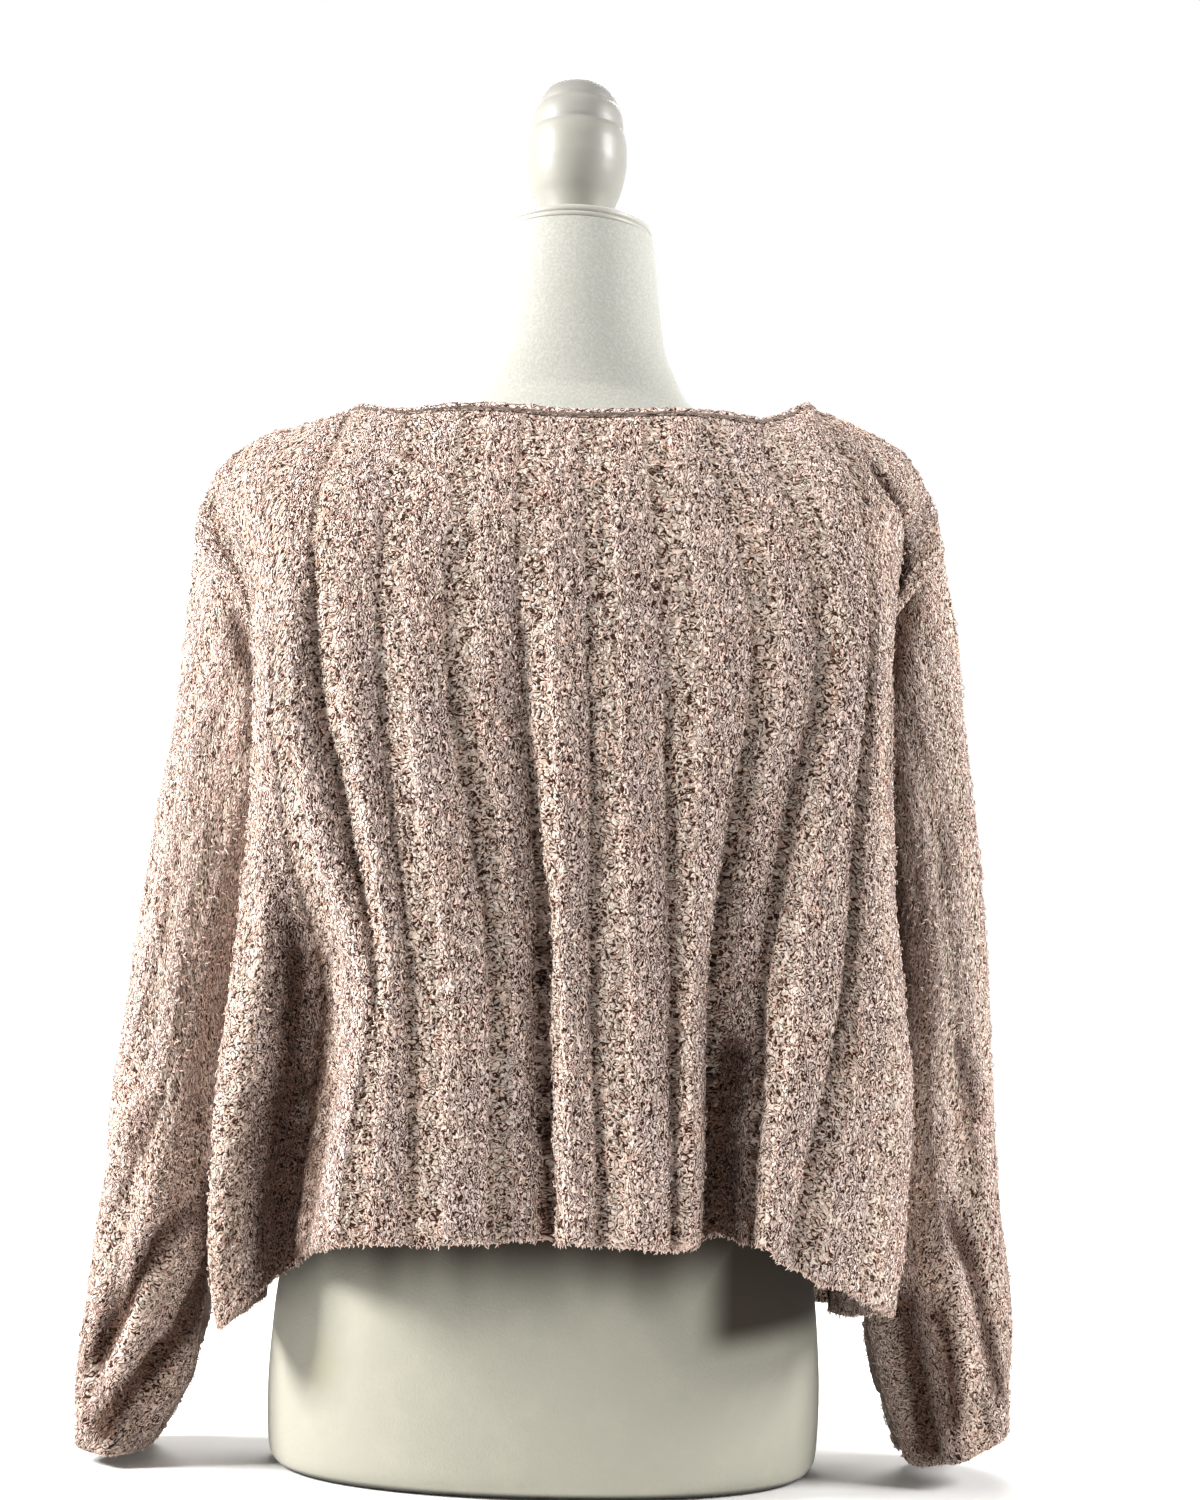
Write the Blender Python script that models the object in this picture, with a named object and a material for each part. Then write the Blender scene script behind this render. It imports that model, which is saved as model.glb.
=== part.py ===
"""A cropped, wide pullover in ribbed boucle knit, standing on a limbless dress form.

Metres, +Z up.  The form stands on the plane z = 0, and its axis is x = y = 0 there.
The wearer's back faces -Y, the wearer's right is +X and the front faces +Y.

The pullover is cut as a back, a front, two sleeves and a narrow neck edging.  Every piece
is a wall of knit.  The five middle surfaces come from one set of functions, so they meet
along their seams: a panel is a grid over A, the place across the flat knit, and T, the
share of its length from the hem to the shoulder, and a sleeve is a run of rings that
starts on the armhole.  The form is three solids: torso with neck, neck cap and finial.
"""

import math

import bpy
import numpy as np

# ------------------------------------------------------------------ driving dimensions
CLOTH = 0.003  # thickness of the knit
GAP = 0.0003  # between two pieces at a seam
RIB = 0.040  # one rib of the knit: a raised band and a sunk one
HALF_FLAT = 0.300  # half of a panel's flat width
NECK_HALF = 0.160  # half of the neck opening, along the flat knit
BAND_RISE = 0.007  # height of the neck edging
BAND_THICK = 0.0038
UNDERARM_T = 0.40  # the armhole starts here, as a share of the panel's length
SHOULDER_T = 0.62  # above this the panel bends over the shoulder

COLUMNS = 30  # half a rib each, so each furrow and each ridge has its own column
ROWS_BELOW, ROWS_ABOVE = 7, 11
SLEEVE_RINGS = 14

# ------------------------------------------------------------------ tables
# The fold that hangs at each side of the back, its outermost line.
# share of length, x left, x right, y
BACK_EDGE = (
    (0.00, -0.1925, 0.2065, -0.078),
    (0.10, -0.1985, 0.2120, -0.078),
    (0.22, -0.1965, 0.2115, -0.078),
    (0.34, -0.1905, 0.2050, -0.076),
    (0.48, -0.1840, 0.1985, -0.074),
    (0.62, -0.1795, 0.1965, -0.074),
    (0.74, -0.1810, 0.1960, -0.074),
    (0.86, -0.2010, 0.2010, -0.066),
    (0.94, -0.2075, 0.2070, -0.040),
    (1.00, -0.2010, 0.2040, 0.000),
)
# share of length, x left, x right, y
FRONT_EDGE = (
    (0.00, -0.1930, 0.1950, 0.082),
    (0.22, -0.1960, 0.1980, 0.082),
    (0.48, -0.1880, 0.1930, 0.080),
    (0.62, -0.1830, 0.1900, 0.078),
    (0.74, -0.1840, 0.1900, 0.078),
    (0.86, -0.2000, 0.2010, 0.066),
    (0.94, -0.2070, 0.2070, 0.040),
    (1.00, -0.2010, 0.2040, 0.000),
)
# Side seam up to the underarm, then the armhole up to the shoulder.
# share of length, x left, x right, y (back), z
SEAM = (
    (0.00, -0.1720, 0.1740, 0.000, 0.0980),
    (0.10, -0.1680, 0.1700, 0.000, 0.1500),
    (0.20, -0.1590, 0.1620, 0.000, 0.2030),
    (0.30, -0.1570, 0.1600, 0.000, 0.2520),
    (0.40, -0.1690, 0.1730, 0.000, 0.3000),
    (0.45, -0.1690, 0.1740, -0.020, 0.3200),
    (0.50, -0.1690, 0.1750, -0.033, 0.3550),
    (0.60, -0.1690, 0.1770, -0.041, 0.4100),
    (0.70, -0.1720, 0.1810, -0.044, 0.4550),
    (0.80, -0.1830, 0.1900, -0.042, 0.4980),
    (0.90, -0.2030, 0.2080, -0.030, 0.5380),
    (1.00, -0.2255, 0.2295, 0.000, 0.5600),
)
# Shoulder seam, from the neck to the sleeve.
# place across the knit, x left, z left, x right, z right
SHOULDER = (
    (0.160, -0.1330, 0.6385, 0.1500, 0.6470),
    (0.190, -0.1600, 0.6300, 0.1710, 0.6385),
    (0.220, -0.1850, 0.6215, 0.1900, 0.6300),
    (0.240, -0.2010, 0.6125, 0.2040, 0.6220),
    (0.260, -0.2125, 0.6000, 0.2150, 0.6060),
    (0.280, -0.2205, 0.5830, 0.2245, 0.5860),
    (0.300, -0.2255, 0.5600, 0.2295, 0.5600),
)
# Where the sunk lines of the rib lie on the back, a row for each height.
# z, then x of lines -1 to 9 (line 4 is at the middle of the knit)
FURROW_Z = (0.120, 0.177, 0.293, 0.391, 0.489, 0.560, 0.640)
FURROW_X = (
    (-0.1560, -0.1190, -0.0790, -0.0310, 0.0010, 0.0320, 0.0735, 0.0900, 0.1165, 0.1400, 0.1800),
    (-0.1480, -0.1164, -0.0788, -0.0326, -0.0020, 0.0298, 0.0725, 0.0904, 0.1176, 0.1442, 0.1846),
    (-0.1340, -0.1038, -0.0830, -0.0357, -0.0079, 0.0232, 0.0695, 0.0914, 0.1209, 0.1665, 0.1940),
    (-0.1568, -0.1221, -0.0944, -0.0499, -0.0136, 0.0200, 0.0644, 0.1008, 0.1309, 0.1736, 0.1900),
    (-0.1720, -0.1449, -0.1062, -0.0669, -0.0236, 0.0168, 0.0602, 0.1110, 0.1480, 0.1774, 0.1890),
    (-0.1830, -0.1480, -0.1080, -0.0680, -0.0270, 0.0130, 0.0550, 0.1010, 0.1400, 0.1740, 0.1930),
    (-0.1690, -0.1310, -0.1010, -0.0650, -0.0280, 0.0100, 0.0470, 0.0840, 0.1180, 0.1490, 0.1780),
)
# Depth of the hanging panels: z, y of the back's middle, y of the front's middle
DEPTH = (
    (0.100, -0.1360, 0.1270),
    (0.170, -0.1330, 0.1300),
    (0.290, -0.1280, 0.1350),
    (0.400, -0.1240, 0.1380),
    (0.460, -0.1210, 0.1320),
    (0.520, -0.1170, 0.1180),
)
# Hem: place across the knit, z of the back, z of the front
HEM = (
    (-0.300, 0.0980, 0.0980),
    (-0.265, 0.0900, 0.0870),
    (-0.240, 0.0890, 0.0860),
    (-0.215, 0.1120, 0.1000),
    (-0.190, 0.1360, 0.1180),
    (-0.165, 0.1470, 0.1280),
    (-0.100, 0.1500, 0.1360),
    (-0.050, 0.1530, 0.1390),
    (0.000, 0.1515, 0.1400),
    (0.050, 0.1500, 0.1390),
    (0.100, 0.1540, 0.1290),
    (0.130, 0.1530, 0.1150),
    (0.165, 0.1390, 0.0980),
    (0.200, 0.1240, 0.0890),
    (0.240, 0.1090, 0.0845),
    (0.265, 0.1050, 0.0850),
    (0.300, 0.0980, 0.0980),
)
# Folds, each a soft trough (depth over zero) or ridge (under zero) down the panel.
# place across the knit, half width, then depth at z 0.12, 0.20, 0.29, 0.38, 0.47, 0.56
FOLD_Z = (0.120, 0.200, 0.290, 0.380, 0.470, 0.560)
BACK_FOLDS = (
    (-0.200, 0.026, 0.040, 0.036, 0.027, 0.010, 0.000, 0.000),
    (-0.160, 0.018, 0.000, 0.000, 0.003, 0.009, 0.007, 0.001),
    (-0.120, 0.016, 0.003, 0.003, 0.004, 0.004, 0.003, 0.001),
    (-0.066, 0.026, 0.013, 0.009, 0.006, 0.006, 0.004, 0.001),
    (-0.040, 0.016, 0.012, 0.011, 0.011, 0.009, 0.005, 0.001),
    (0.000, 0.015, 0.003, 0.003, 0.004, 0.004, 0.002, 0.001),
    (0.040, 0.015, 0.004, 0.005, 0.006, 0.005, 0.002, 0.001),
    (0.098, 0.032, 0.036, 0.030, 0.016, 0.005, 0.001, 0.000),
    (0.080, 0.016, 0.000, 0.003, 0.007, 0.009, 0.004, 0.001),
    (0.120, 0.016, 0.000, 0.003, 0.007, 0.008, 0.006, 0.002),
    (0.160, 0.018, 0.006, 0.006, 0.006, 0.006, 0.003, 0.001),
)
FRONT_FOLDS = (
    (-0.190, 0.030, 0.034, 0.030, 0.020, 0.006, 0.000, 0.000),
    (-0.130, 0.022, 0.012, 0.010, 0.007, 0.003, 0.000, 0.000),
    (-0.070, 0.028, 0.017, 0.013, 0.008, 0.002, 0.000, 0.000),
    (-0.010, 0.020, 0.006, 0.005, 0.004, 0.001, 0.000, 0.000),
    (0.060, 0.030, 0.018, 0.014, 0.008, 0.002, 0.000, 0.000),
    (0.120, 0.020, 0.009, 0.008, 0.005, 0.002, 0.000, 0.000),
    (0.180, 0.030, 0.032, 0.028, 0.018, 0.006, 0.000, 0.000),
)
# Sleeves: the outer and the inner line of the hanging tube, which slope down and out.
# share of sleeve, outer x, outer z, inner x, inner z, half depth, y of the middle
SLEEVE_LEFT = (
    (0.00, -0.2255, 0.5600, -0.1690, 0.3000, 0.038, 0.000),
    (0.08, -0.2290, 0.5200, -0.1820, 0.2860, 0.037, 0.001),
    (0.22, -0.2345, 0.4500, -0.1900, 0.2540, 0.041, 0.002),
    (0.36, -0.2440, 0.3800, -0.1930, 0.2130, 0.045, 0.003),
    (0.50, -0.2540, 0.3050, -0.1960, 0.1720, 0.049, 0.003),
    (0.64, -0.2625, 0.2350, -0.2030, 0.1330, 0.051, 0.003),
    (0.78, -0.2710, 0.1600, -0.2085, 0.0930, 0.052, 0.003),
    (0.90, -0.2800, 0.0800, -0.2170, 0.0480, 0.052, 0.002),
    (1.00, -0.2825, 0.0075, -0.2345, 0.0070, 0.051, 0.002),
)
SLEEVE_RIGHT = (
    (0.00, 0.2295, 0.5600, 0.1730, 0.3000, 0.038, 0.000),
    (0.08, 0.2385, 0.5180, 0.1900, 0.2880, 0.036, -0.001),
    (0.22, 0.2465, 0.4500, 0.1920, 0.2540, 0.040, 0.003),
    (0.36, 0.2548, 0.3820, 0.1935, 0.2130, 0.043, 0.004),
    (0.50, 0.2615, 0.3150, 0.1930, 0.1720, 0.046, 0.005),
    (0.64, 0.2680, 0.2400, 0.1960, 0.1330, 0.048, 0.005),
    (0.78, 0.2740, 0.1650, 0.1980, 0.0930, 0.050, 0.004),
    (0.90, 0.2830, 0.0850, 0.2065, 0.0500, 0.052, 0.002),
    (1.00, 0.2835, 0.0280, 0.2200, 0.0065, 0.051, 0.002),
)
# Soft folds along a sleeve: share round the sleeve (0 inner, 0.5 outer, back first),
# half width of it, then depth at share of sleeve 0, 0.3, 0.6, 0.85, 1
SLEEVE_FOLD_S = (0.0, 0.3, 0.6, 0.85, 1.0)
SLEEVE_FOLDS = (
    (0.17, 0.060, 0.000, 0.003, 0.006, 0.010, 0.012),
    (0.33, 0.055, 0.000, 0.002, 0.005, 0.008, 0.009),
    (0.66, 0.060, 0.000, 0.003, 0.006, 0.008, 0.010),
    (0.83, 0.055, 0.000, 0.002, 0.005, 0.008, 0.010),
)

# Dress form: z, half width, depth at the back, depth at the front
FORM = (
    (0.0000, 0.1575, 0.1040, 0.0980),
    (0.0030, 0.1630, 0.1090, 0.1030),
    (0.0090, 0.1665, 0.1120, 0.1060),
    (0.0450, 0.1680, 0.1130, 0.1070),
    (0.0900, 0.1655, 0.1130, 0.1070),
    (0.1300, 0.1600, 0.1110, 0.1050),
    (0.1700, 0.1490, 0.1040, 0.0990),
    (0.2000, 0.1375, 0.0950, 0.0930),
    (0.2600, 0.1190, 0.0830, 0.0850),
    (0.3200, 0.1240, 0.0880, 0.0980),
    (0.4000, 0.1400, 0.0980, 0.1200),
    (0.4600, 0.1480, 0.1040, 0.1150),
    (0.5200, 0.1560, 0.1060, 0.0980),
    (0.5650, 0.1640, 0.0990, 0.0820),
    (0.5900, 0.1660, 0.0870, 0.0690),
    (0.6050, 0.1620, 0.0770, 0.0590),
    (0.6160, 0.1480, 0.0690, 0.0500),
    (0.6240, 0.1280, 0.0640, 0.0470),
    (0.6310, 0.1060, 0.0600, 0.0460),
    (0.6390, 0.0860, 0.0560, 0.0470),
    (0.6500, 0.0723, 0.0530, 0.0500),
    (0.6640, 0.0645, 0.0510, 0.0500),
    (0.6840, 0.0570, 0.0500, 0.0500),
    (0.7140, 0.0530, 0.0495, 0.0495),
    (0.7500, 0.0490, 0.0480, 0.0480),
)
FORM_SIDES = 36
NECK_LEAN = math.radians(13.0)  # the neck leans to the front
NECK_FROM = 0.620  # and starts to lean here
NECK_TOP = 0.7500
# Neck cap and finial, turned on the neck's axis: radius, height above the neck
CAP = ((0.0440, 0.0), (0.0475, 0.0006), (0.0475, 0.0028), (0.0466, 0.0034), (0.0466, 0.0038),
       (0.0475, 0.0046), (0.0475, 0.0066), (0.0466, 0.0075), (0.0440, 0.0079))
FINIAL = ((0.0195, 0.0), (0.0215, 0.0030), (0.0228, 0.0100), (0.0247, 0.0175), (0.0275, 0.0255),
          (0.0297, 0.0345), (0.0309, 0.0440), (0.0308, 0.0530), (0.0295, 0.0615), (0.0284, 0.0645),
          (0.0279, 0.0658), (0.0283, 0.0672), (0.0277, 0.0735), (0.0260, 0.0790), (0.0247, 0.0808),
          (0.0242, 0.0820), (0.0240, 0.0832), (0.0212, 0.0895), (0.0160, 0.0950), (0.0088, 0.0988))
FINIAL_TOP = 0.1001
TURN_SIDES = 32


# ------------------------------------------------------------------ curves
def curve(knots, values, at):
    """A smooth curve through (knots, values) that never swings past them."""
    knots, values = np.asarray(knots, float), np.asarray(values, float)
    at = np.clip(np.asarray(at, float), knots[0], knots[-1])
    step = np.diff(knots)
    slope = np.diff(values) / step
    bend = np.zeros(len(knots))
    bend[0], bend[-1] = slope[0], slope[-1]
    for k in range(1, len(knots) - 1):
        if slope[k - 1] * slope[k] > 0:
            w1, w2 = 2 * step[k] + step[k - 1], step[k] + 2 * step[k - 1]
            bend[k] = (w1 + w2) / (w1 / slope[k - 1] + w2 / slope[k])
    k = np.clip(np.searchsorted(knots, at, side="right") - 1, 0, len(knots) - 2)
    h, s = step[k], (at - knots[k]) / step[k]
    return (
        values[k] * (1 + 2 * s) * (1 - s) ** 2
        + bend[k] * h * s * (1 - s) ** 2
        + values[k + 1] * s * s * (3 - 2 * s)
        + bend[k + 1] * h * s * s * (s - 1)
    )


def column(table, number, at):
    """One named column of a table, as a curve over its first column."""
    rows = np.asarray(table, float)
    return curve(rows[:, 0], rows[:, number], at)


def bump(offset, half_width):
    """1 at the middle of a fold, 0 past its reach."""
    return np.exp(-((offset / half_width) ** 2) * 1.6)


# ------------------------------------------------------------------ the panels
def top_line(a, front):
    """Top edge of a panel: shoulder seam, neckline, shoulder seam."""
    a = np.asarray(a, float)
    out = np.abs(a)
    right = a > 0
    x = np.where(right, column(SHOULDER, 3, out), column(SHOULDER, 1, out))
    z = np.where(right, column(SHOULDER, 4, out), column(SHOULDER, 2, out))
    y = np.zeros_like(a)
    neck = out < NECK_HALF
    share = np.clip(a / NECK_HALF, -1, 1)
    round_off = np.sqrt(np.clip(1 - share**2, 0, 1))
    left_x, right_x = SHOULDER[0][1], SHOULDER[0][3]
    peak = np.where(right, SHOULDER[0][4], SHOULDER[0][2])
    middle = (left_x + right_x) / 2
    neck_x = middle + (right_x - left_x) / 2 * share
    if front:
        neck_y = 0.082 * round_off
        neck_z = peak - (peak - 0.584) * round_off**2.0
    else:
        neck_y = -0.082 * round_off**0.8
        level = 0.6330 - 0.0015 * np.cos(a / NECK_HALF * 2.2 * math.pi)
        neck_z = level + (peak - level) * np.clip((np.abs(share) - 0.72) / 0.28, 0, 1) ** 1.5
    return np.where(neck, neck_x, x), np.where(neck, neck_y, y), np.where(neck, neck_z, z)


def panel(a_list, t_list, front):
    """Middle surface of the back or the front, as an array [row, column, xyz]."""
    a = np.asarray(a_list, float)
    grid = np.zeros((len(t_list), len(a), 3))
    side = 1.0 if front else -1.0
    hem = column(HEM, 2 if front else 1, a)
    shoulder_z = curve((0.0, 0.16, 0.24, 0.30), (0.460, 0.460, 0.438, 0.410), np.abs(a))
    top_x, top_y, top_z = top_line(a, front)
    lines = np.arange(-1, 10)
    edge = FRONT_EDGE if front else BACK_EDGE
    folds = FRONT_FOLDS if front else BACK_FOLDS
    # how far round the shoulder the panel bends: a quarter turn at the seam, less at the neck
    turn = np.radians(curve((0.0, 0.10, 0.16, 0.20), (62, 68, 88, 90), np.abs(a)))
    for row, t in enumerate(t_list):
        s = (t - SHOULDER_T) / (1 - SHOULDER_T)
        if s <= 0:
            z = hem + (shoulder_z - hem) * t / SHOULDER_T
            over = np.zeros_like(a)
        else:
            phi = turn * s
            z = shoulder_z + (top_z - shoulder_z) * np.sin(phi) / np.sin(turn)
            over = (1 - np.cos(phi)) / (1 - np.cos(turn))
        zc = float(np.interp(0.0, a, z)) if len(a) > 1 else float(z[0])
        # x of each rib line at this height
        if front:
            spread = curve((0.10, 0.30, 0.50, 0.60), (0.90, 0.90, 0.95, 0.93), zc)
            line_x = (lines - 4) * RIB * spread + 0.004
            line_x = line_x * (1 - 0.06 * abs(line_x / 0.18) ** 3)
        else:
            line_x = np.array([curve(FURROW_Z, [r[n] for r in FURROW_X], zc) for n in range(11)])
        ex = [float(column(edge, 1, t)), float(column(edge, 2, t))]
        ey = float(column(edge, 3, t))
        bx = [float(column(SEAM, 1, t)), float(column(SEAM, 2, t))]
        by = -side * float(column(SEAM, 3, t))
        depth = float(column(DEPTH, 2 if front else 1, min(zc, 0.52)))
        # inside the fold edges the lines keep their own x, and stay inside the edges
        inner = np.clip(line_x, ex[0] + 0.012, ex[1] - 0.012)
        inner[0] = min(inner[0], inner[1] - 0.014)
        inner[-1] = max(inner[-1], inner[-2] + 0.010)
        place = np.concatenate([[-0.300, -0.272, -0.243], (lines - 4) * RIB, [0.243, 0.272, 0.300]])
        xs = np.concatenate([
            [bx[0], bx[0] * 0.52 + ex[0] * 0.48, ex[0]], inner,
            [ex[1], bx[1] * 0.52 + ex[1] * 0.48, bx[1]],
        ])
        bow = 1 - 0.10 * np.abs((inner - 0.5 * (ex[0] + ex[1])) / 0.19) ** 4
        line_y = depth * bow
        line_y[0] = depth * 0.70 + ey * 0.30
        line_y[-1] = depth * 0.70 + ey * 0.30
        ys = np.concatenate([
            [by, by * 0.48 + ey * 0.52, ey], line_y, [ey, by * 0.48 + ey * 0.52, by],
        ])
        x = curve(place, xs, a)
        y = curve(place, ys, a)
        for fold in folds:
            deep = curve(FOLD_Z, fold[2:], z)
            y = y - side * deep * bump(a - fold[0], fold[1]) * (1 - over)
        # over the shoulder: from the hanging depth to the top line
        if s > 0:
            blend = over**1.0
            rest = np.abs(a) >= HALF_FLAT - 1e-9
            y = np.where(rest, y, y + (top_y - y) * over)
            toward = s**2 * (3 - 2 * s)
            wide = np.where(np.abs(a) <= 0.201, 1.0, np.clip((HALF_FLAT - np.abs(a)) / 0.099, 0, 1))
            x = x + (top_x - x) * toward * wide * blend
        # the side line itself follows its own table
        seam_z = float(column(SEAM, 4, t))
        near = np.clip((np.abs(a) - 0.243) / (HALF_FLAT - 0.243), 0, 1)
        z = z + (seam_z - z) * near**1.5
        grid[row, :, 0], grid[row, :, 1], grid[row, :, 2] = x, y, z
        for end in (0, -1):
            if abs(abs(a[end]) - HALF_FLAT) < 1e-9:
                grid[row, end] = (bx[0 if a[end] < 0 else 1], by, seam_z)
    if abs(t_list[-1] - 1.0) < 1e-9:
        grid[-1, :, 0], grid[-1, :, 1], grid[-1, :, 2] = top_x, top_y, top_z
    return grid


# ------------------------------------------------------------------ the sleeves
def sleeve(table, loop, s_list):
    """Rings from the armhole loop to the cuff.  Point 0 of a ring is the underarm side,
    the middle one is the outer side, and the back comes first."""
    count = len(loop)
    around = np.arange(count) / count
    phi = 2 * math.pi * around
    start_inner, start_outer = loop[0], loop[count // 2]
    span = start_outer - start_inner
    reach = np.linalg.norm(span)
    rel = loop - start_inner
    loop_u = rel @ span / reach**2
    normal = np.cross(span / reach, (0.0, 1.0, 0.0))
    loop_n = rel @ normal
    loop_y = loop[:, 1]
    rings = np.zeros((len(s_list), count, 3))
    for m, s in enumerate(s_list):
        outer = np.array([column(table, 1, s), 0.0, column(table, 2, s)])
        inner = np.array([column(table, 3, s), 0.0, column(table, 4, s)])
        half, mid_y = float(column(table, 5, s)), float(column(table, 6, s))
        own = 1.0 - max(0.0, 1.0 - s / 0.30) ** 2
        # a hanging, half flat tube: blunter than an ellipse
        u = loop_u * (1 - own) + (0.5 - 0.5 * np.cos(phi)) * own
        sine = np.sin(phi)
        y_own = -np.sign(sine) * np.abs(sine) ** 0.8 * half
        y = loop_y * (1 - own) + (y_own + mid_y) * own
        axis = outer - inner
        ring = inner + u[:, None] * axis
        ring[:, 1] = y
        ring += normal * (loop_n * (1 - own))[:, None]
        middle = ring.mean(axis=0)
        for place, width, *deep in SLEEVE_FOLDS:
            away = (around - place + 0.5) % 1.0 - 0.5
            pull = curve(SLEEVE_FOLD_S, deep, s) * bump(away, width)
            toward = middle - ring
            toward /= np.maximum(np.linalg.norm(toward, axis=1), 1e-9)[:, None]
            ring += toward * pull[:, None]
        rings[m] = loop if m == 0 and s == 0 else ring
    return rings


# ------------------------------------------------------------------ from surfaces to walls
def grid_faces(rows, cols, wrap=False):
    """Quads of a grid of rows x cols points, wrapped round in the second way if asked."""
    faces = []
    for i in range(rows - 1):
        for j in range(cols if wrap else cols - 1):
            k = (j + 1) % cols
            faces.append((i * cols + j, i * cols + k, (i + 1) * cols + k, (i + 1) * cols + j))
    return faces


def shared_normals(sheets):
    """Normals of several sheets at once, so that points two sheets share get one normal."""
    keys, total = {}, []
    index = []
    for points, faces in sheets:
        flat = points.reshape(-1, 3)
        own = []
        for p in flat:
            key = tuple(np.round(p * 1e6).astype(int))
            if key not in keys:
                keys[key] = len(total)
                total.append(np.zeros(3))
            own.append(keys[key])
        index.append(own)
        for face in faces:
            a, b, c, d = (flat[k] for k in face)
            push = np.cross(c - a, d - b)
            for k in face:
                total[own[k]] = total[own[k]] + push
    normals = []
    for own in index:
        found = np.array([total[k] for k in own])
        normals.append(found / np.linalg.norm(found, axis=1)[:, None])
    return normals


def wall(name, points, normals, faces, material, thickness=None, gap=GAP):
    """A closed wall round a middle surface.  Its open edges are drawn in by half a gap."""
    flat = points.reshape(-1, 3).copy()
    edges = {}
    for face in faces:
        for k in range(4):
            edge = (face[k], face[(k + 1) % 4])
            edges[tuple(sorted(edge))] = None if tuple(sorted(edge)) in edges else edge
    border = [edge for edge in edges.values() if edge]
    on_border = {k for edge in border for k in edge}
    pull = np.zeros_like(flat)
    for face in faces:
        middle = flat[list(face)].mean(axis=0)
        for k in face:
            if k in on_border:
                pull[k] += middle - flat[k]
    for start, end in border:
        along = flat[end] - flat[start]
        along /= np.linalg.norm(along)
        for k in (start, end):
            pull[k] -= along * (pull[k] @ along) * (0.5 if 0 < len([e for e in border if k in e]) else 0)
    for k in on_border:
        flat[k] += pull[k] / max(np.linalg.norm(pull[k]), 1e-12) * gap * 0.5
    count = len(flat)
    half = np.full(count, CLOTH) / 2 if thickness is None else thickness.reshape(-1) / 2
    outside = flat + normals * half[:, None]
    inside = flat - normals * half[:, None]
    solid = [tuple(face) for face in faces]
    solid += [tuple(k + count for k in reversed(face)) for face in faces]
    solid += [(end, start, start + count, end + count) for start, end in border]
    mesh = bpy.data.meshes.new(name)
    mesh.from_pydata(np.vstack([outside, inside]).tolist(), [], solid)
    mesh.validate()
    mesh.shade_smooth()
    mesh.set_sharp_from_angle(angle=math.radians(50))
    mesh.materials.append(material)
    obj = bpy.data.objects.new(name, mesh)
    bpy.context.scene.collection.objects.link(obj)
    return obj


def rings_solid(name, rings, material, top_point=None):
    """A closed solid through rings that run upwards, with flat ends or a pointed top."""
    rings = np.asarray(rings)
    levels, sides = rings.shape[:2]
    points = rings.reshape(-1, 3).tolist()
    faces = grid_faces(levels, sides, wrap=True)
    faces.append(tuple(reversed(range(sides))))
    last = (levels - 1) * sides
    if top_point is None:
        faces.append(tuple(range(last, last + sides)))
    else:
        points.append(list(top_point))
        faces += [(last + k, last + (k + 1) % sides, len(points) - 1) for k in range(sides)]
    mesh = bpy.data.meshes.new(name)
    mesh.from_pydata(points, [], faces)
    mesh.validate()
    mesh.shade_smooth()
    mesh.set_sharp_from_angle(angle=math.radians(40))
    mesh.materials.append(material)
    obj = bpy.data.objects.new(name, mesh)
    bpy.context.scene.collection.objects.link(obj)
    return obj


def material(name, colour, roughness, metallic=0.0):
    made = bpy.data.materials.new(name)
    made.use_nodes = True
    shader = made.node_tree.nodes["Principled BSDF"]
    shader.inputs["Base Color"].default_value = (*colour, 1.0)
    shader.inputs["Roughness"].default_value = roughness
    shader.inputs["Metallic"].default_value = metallic
    made.diffuse_color = (*colour, 1.0)
    return made


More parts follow.
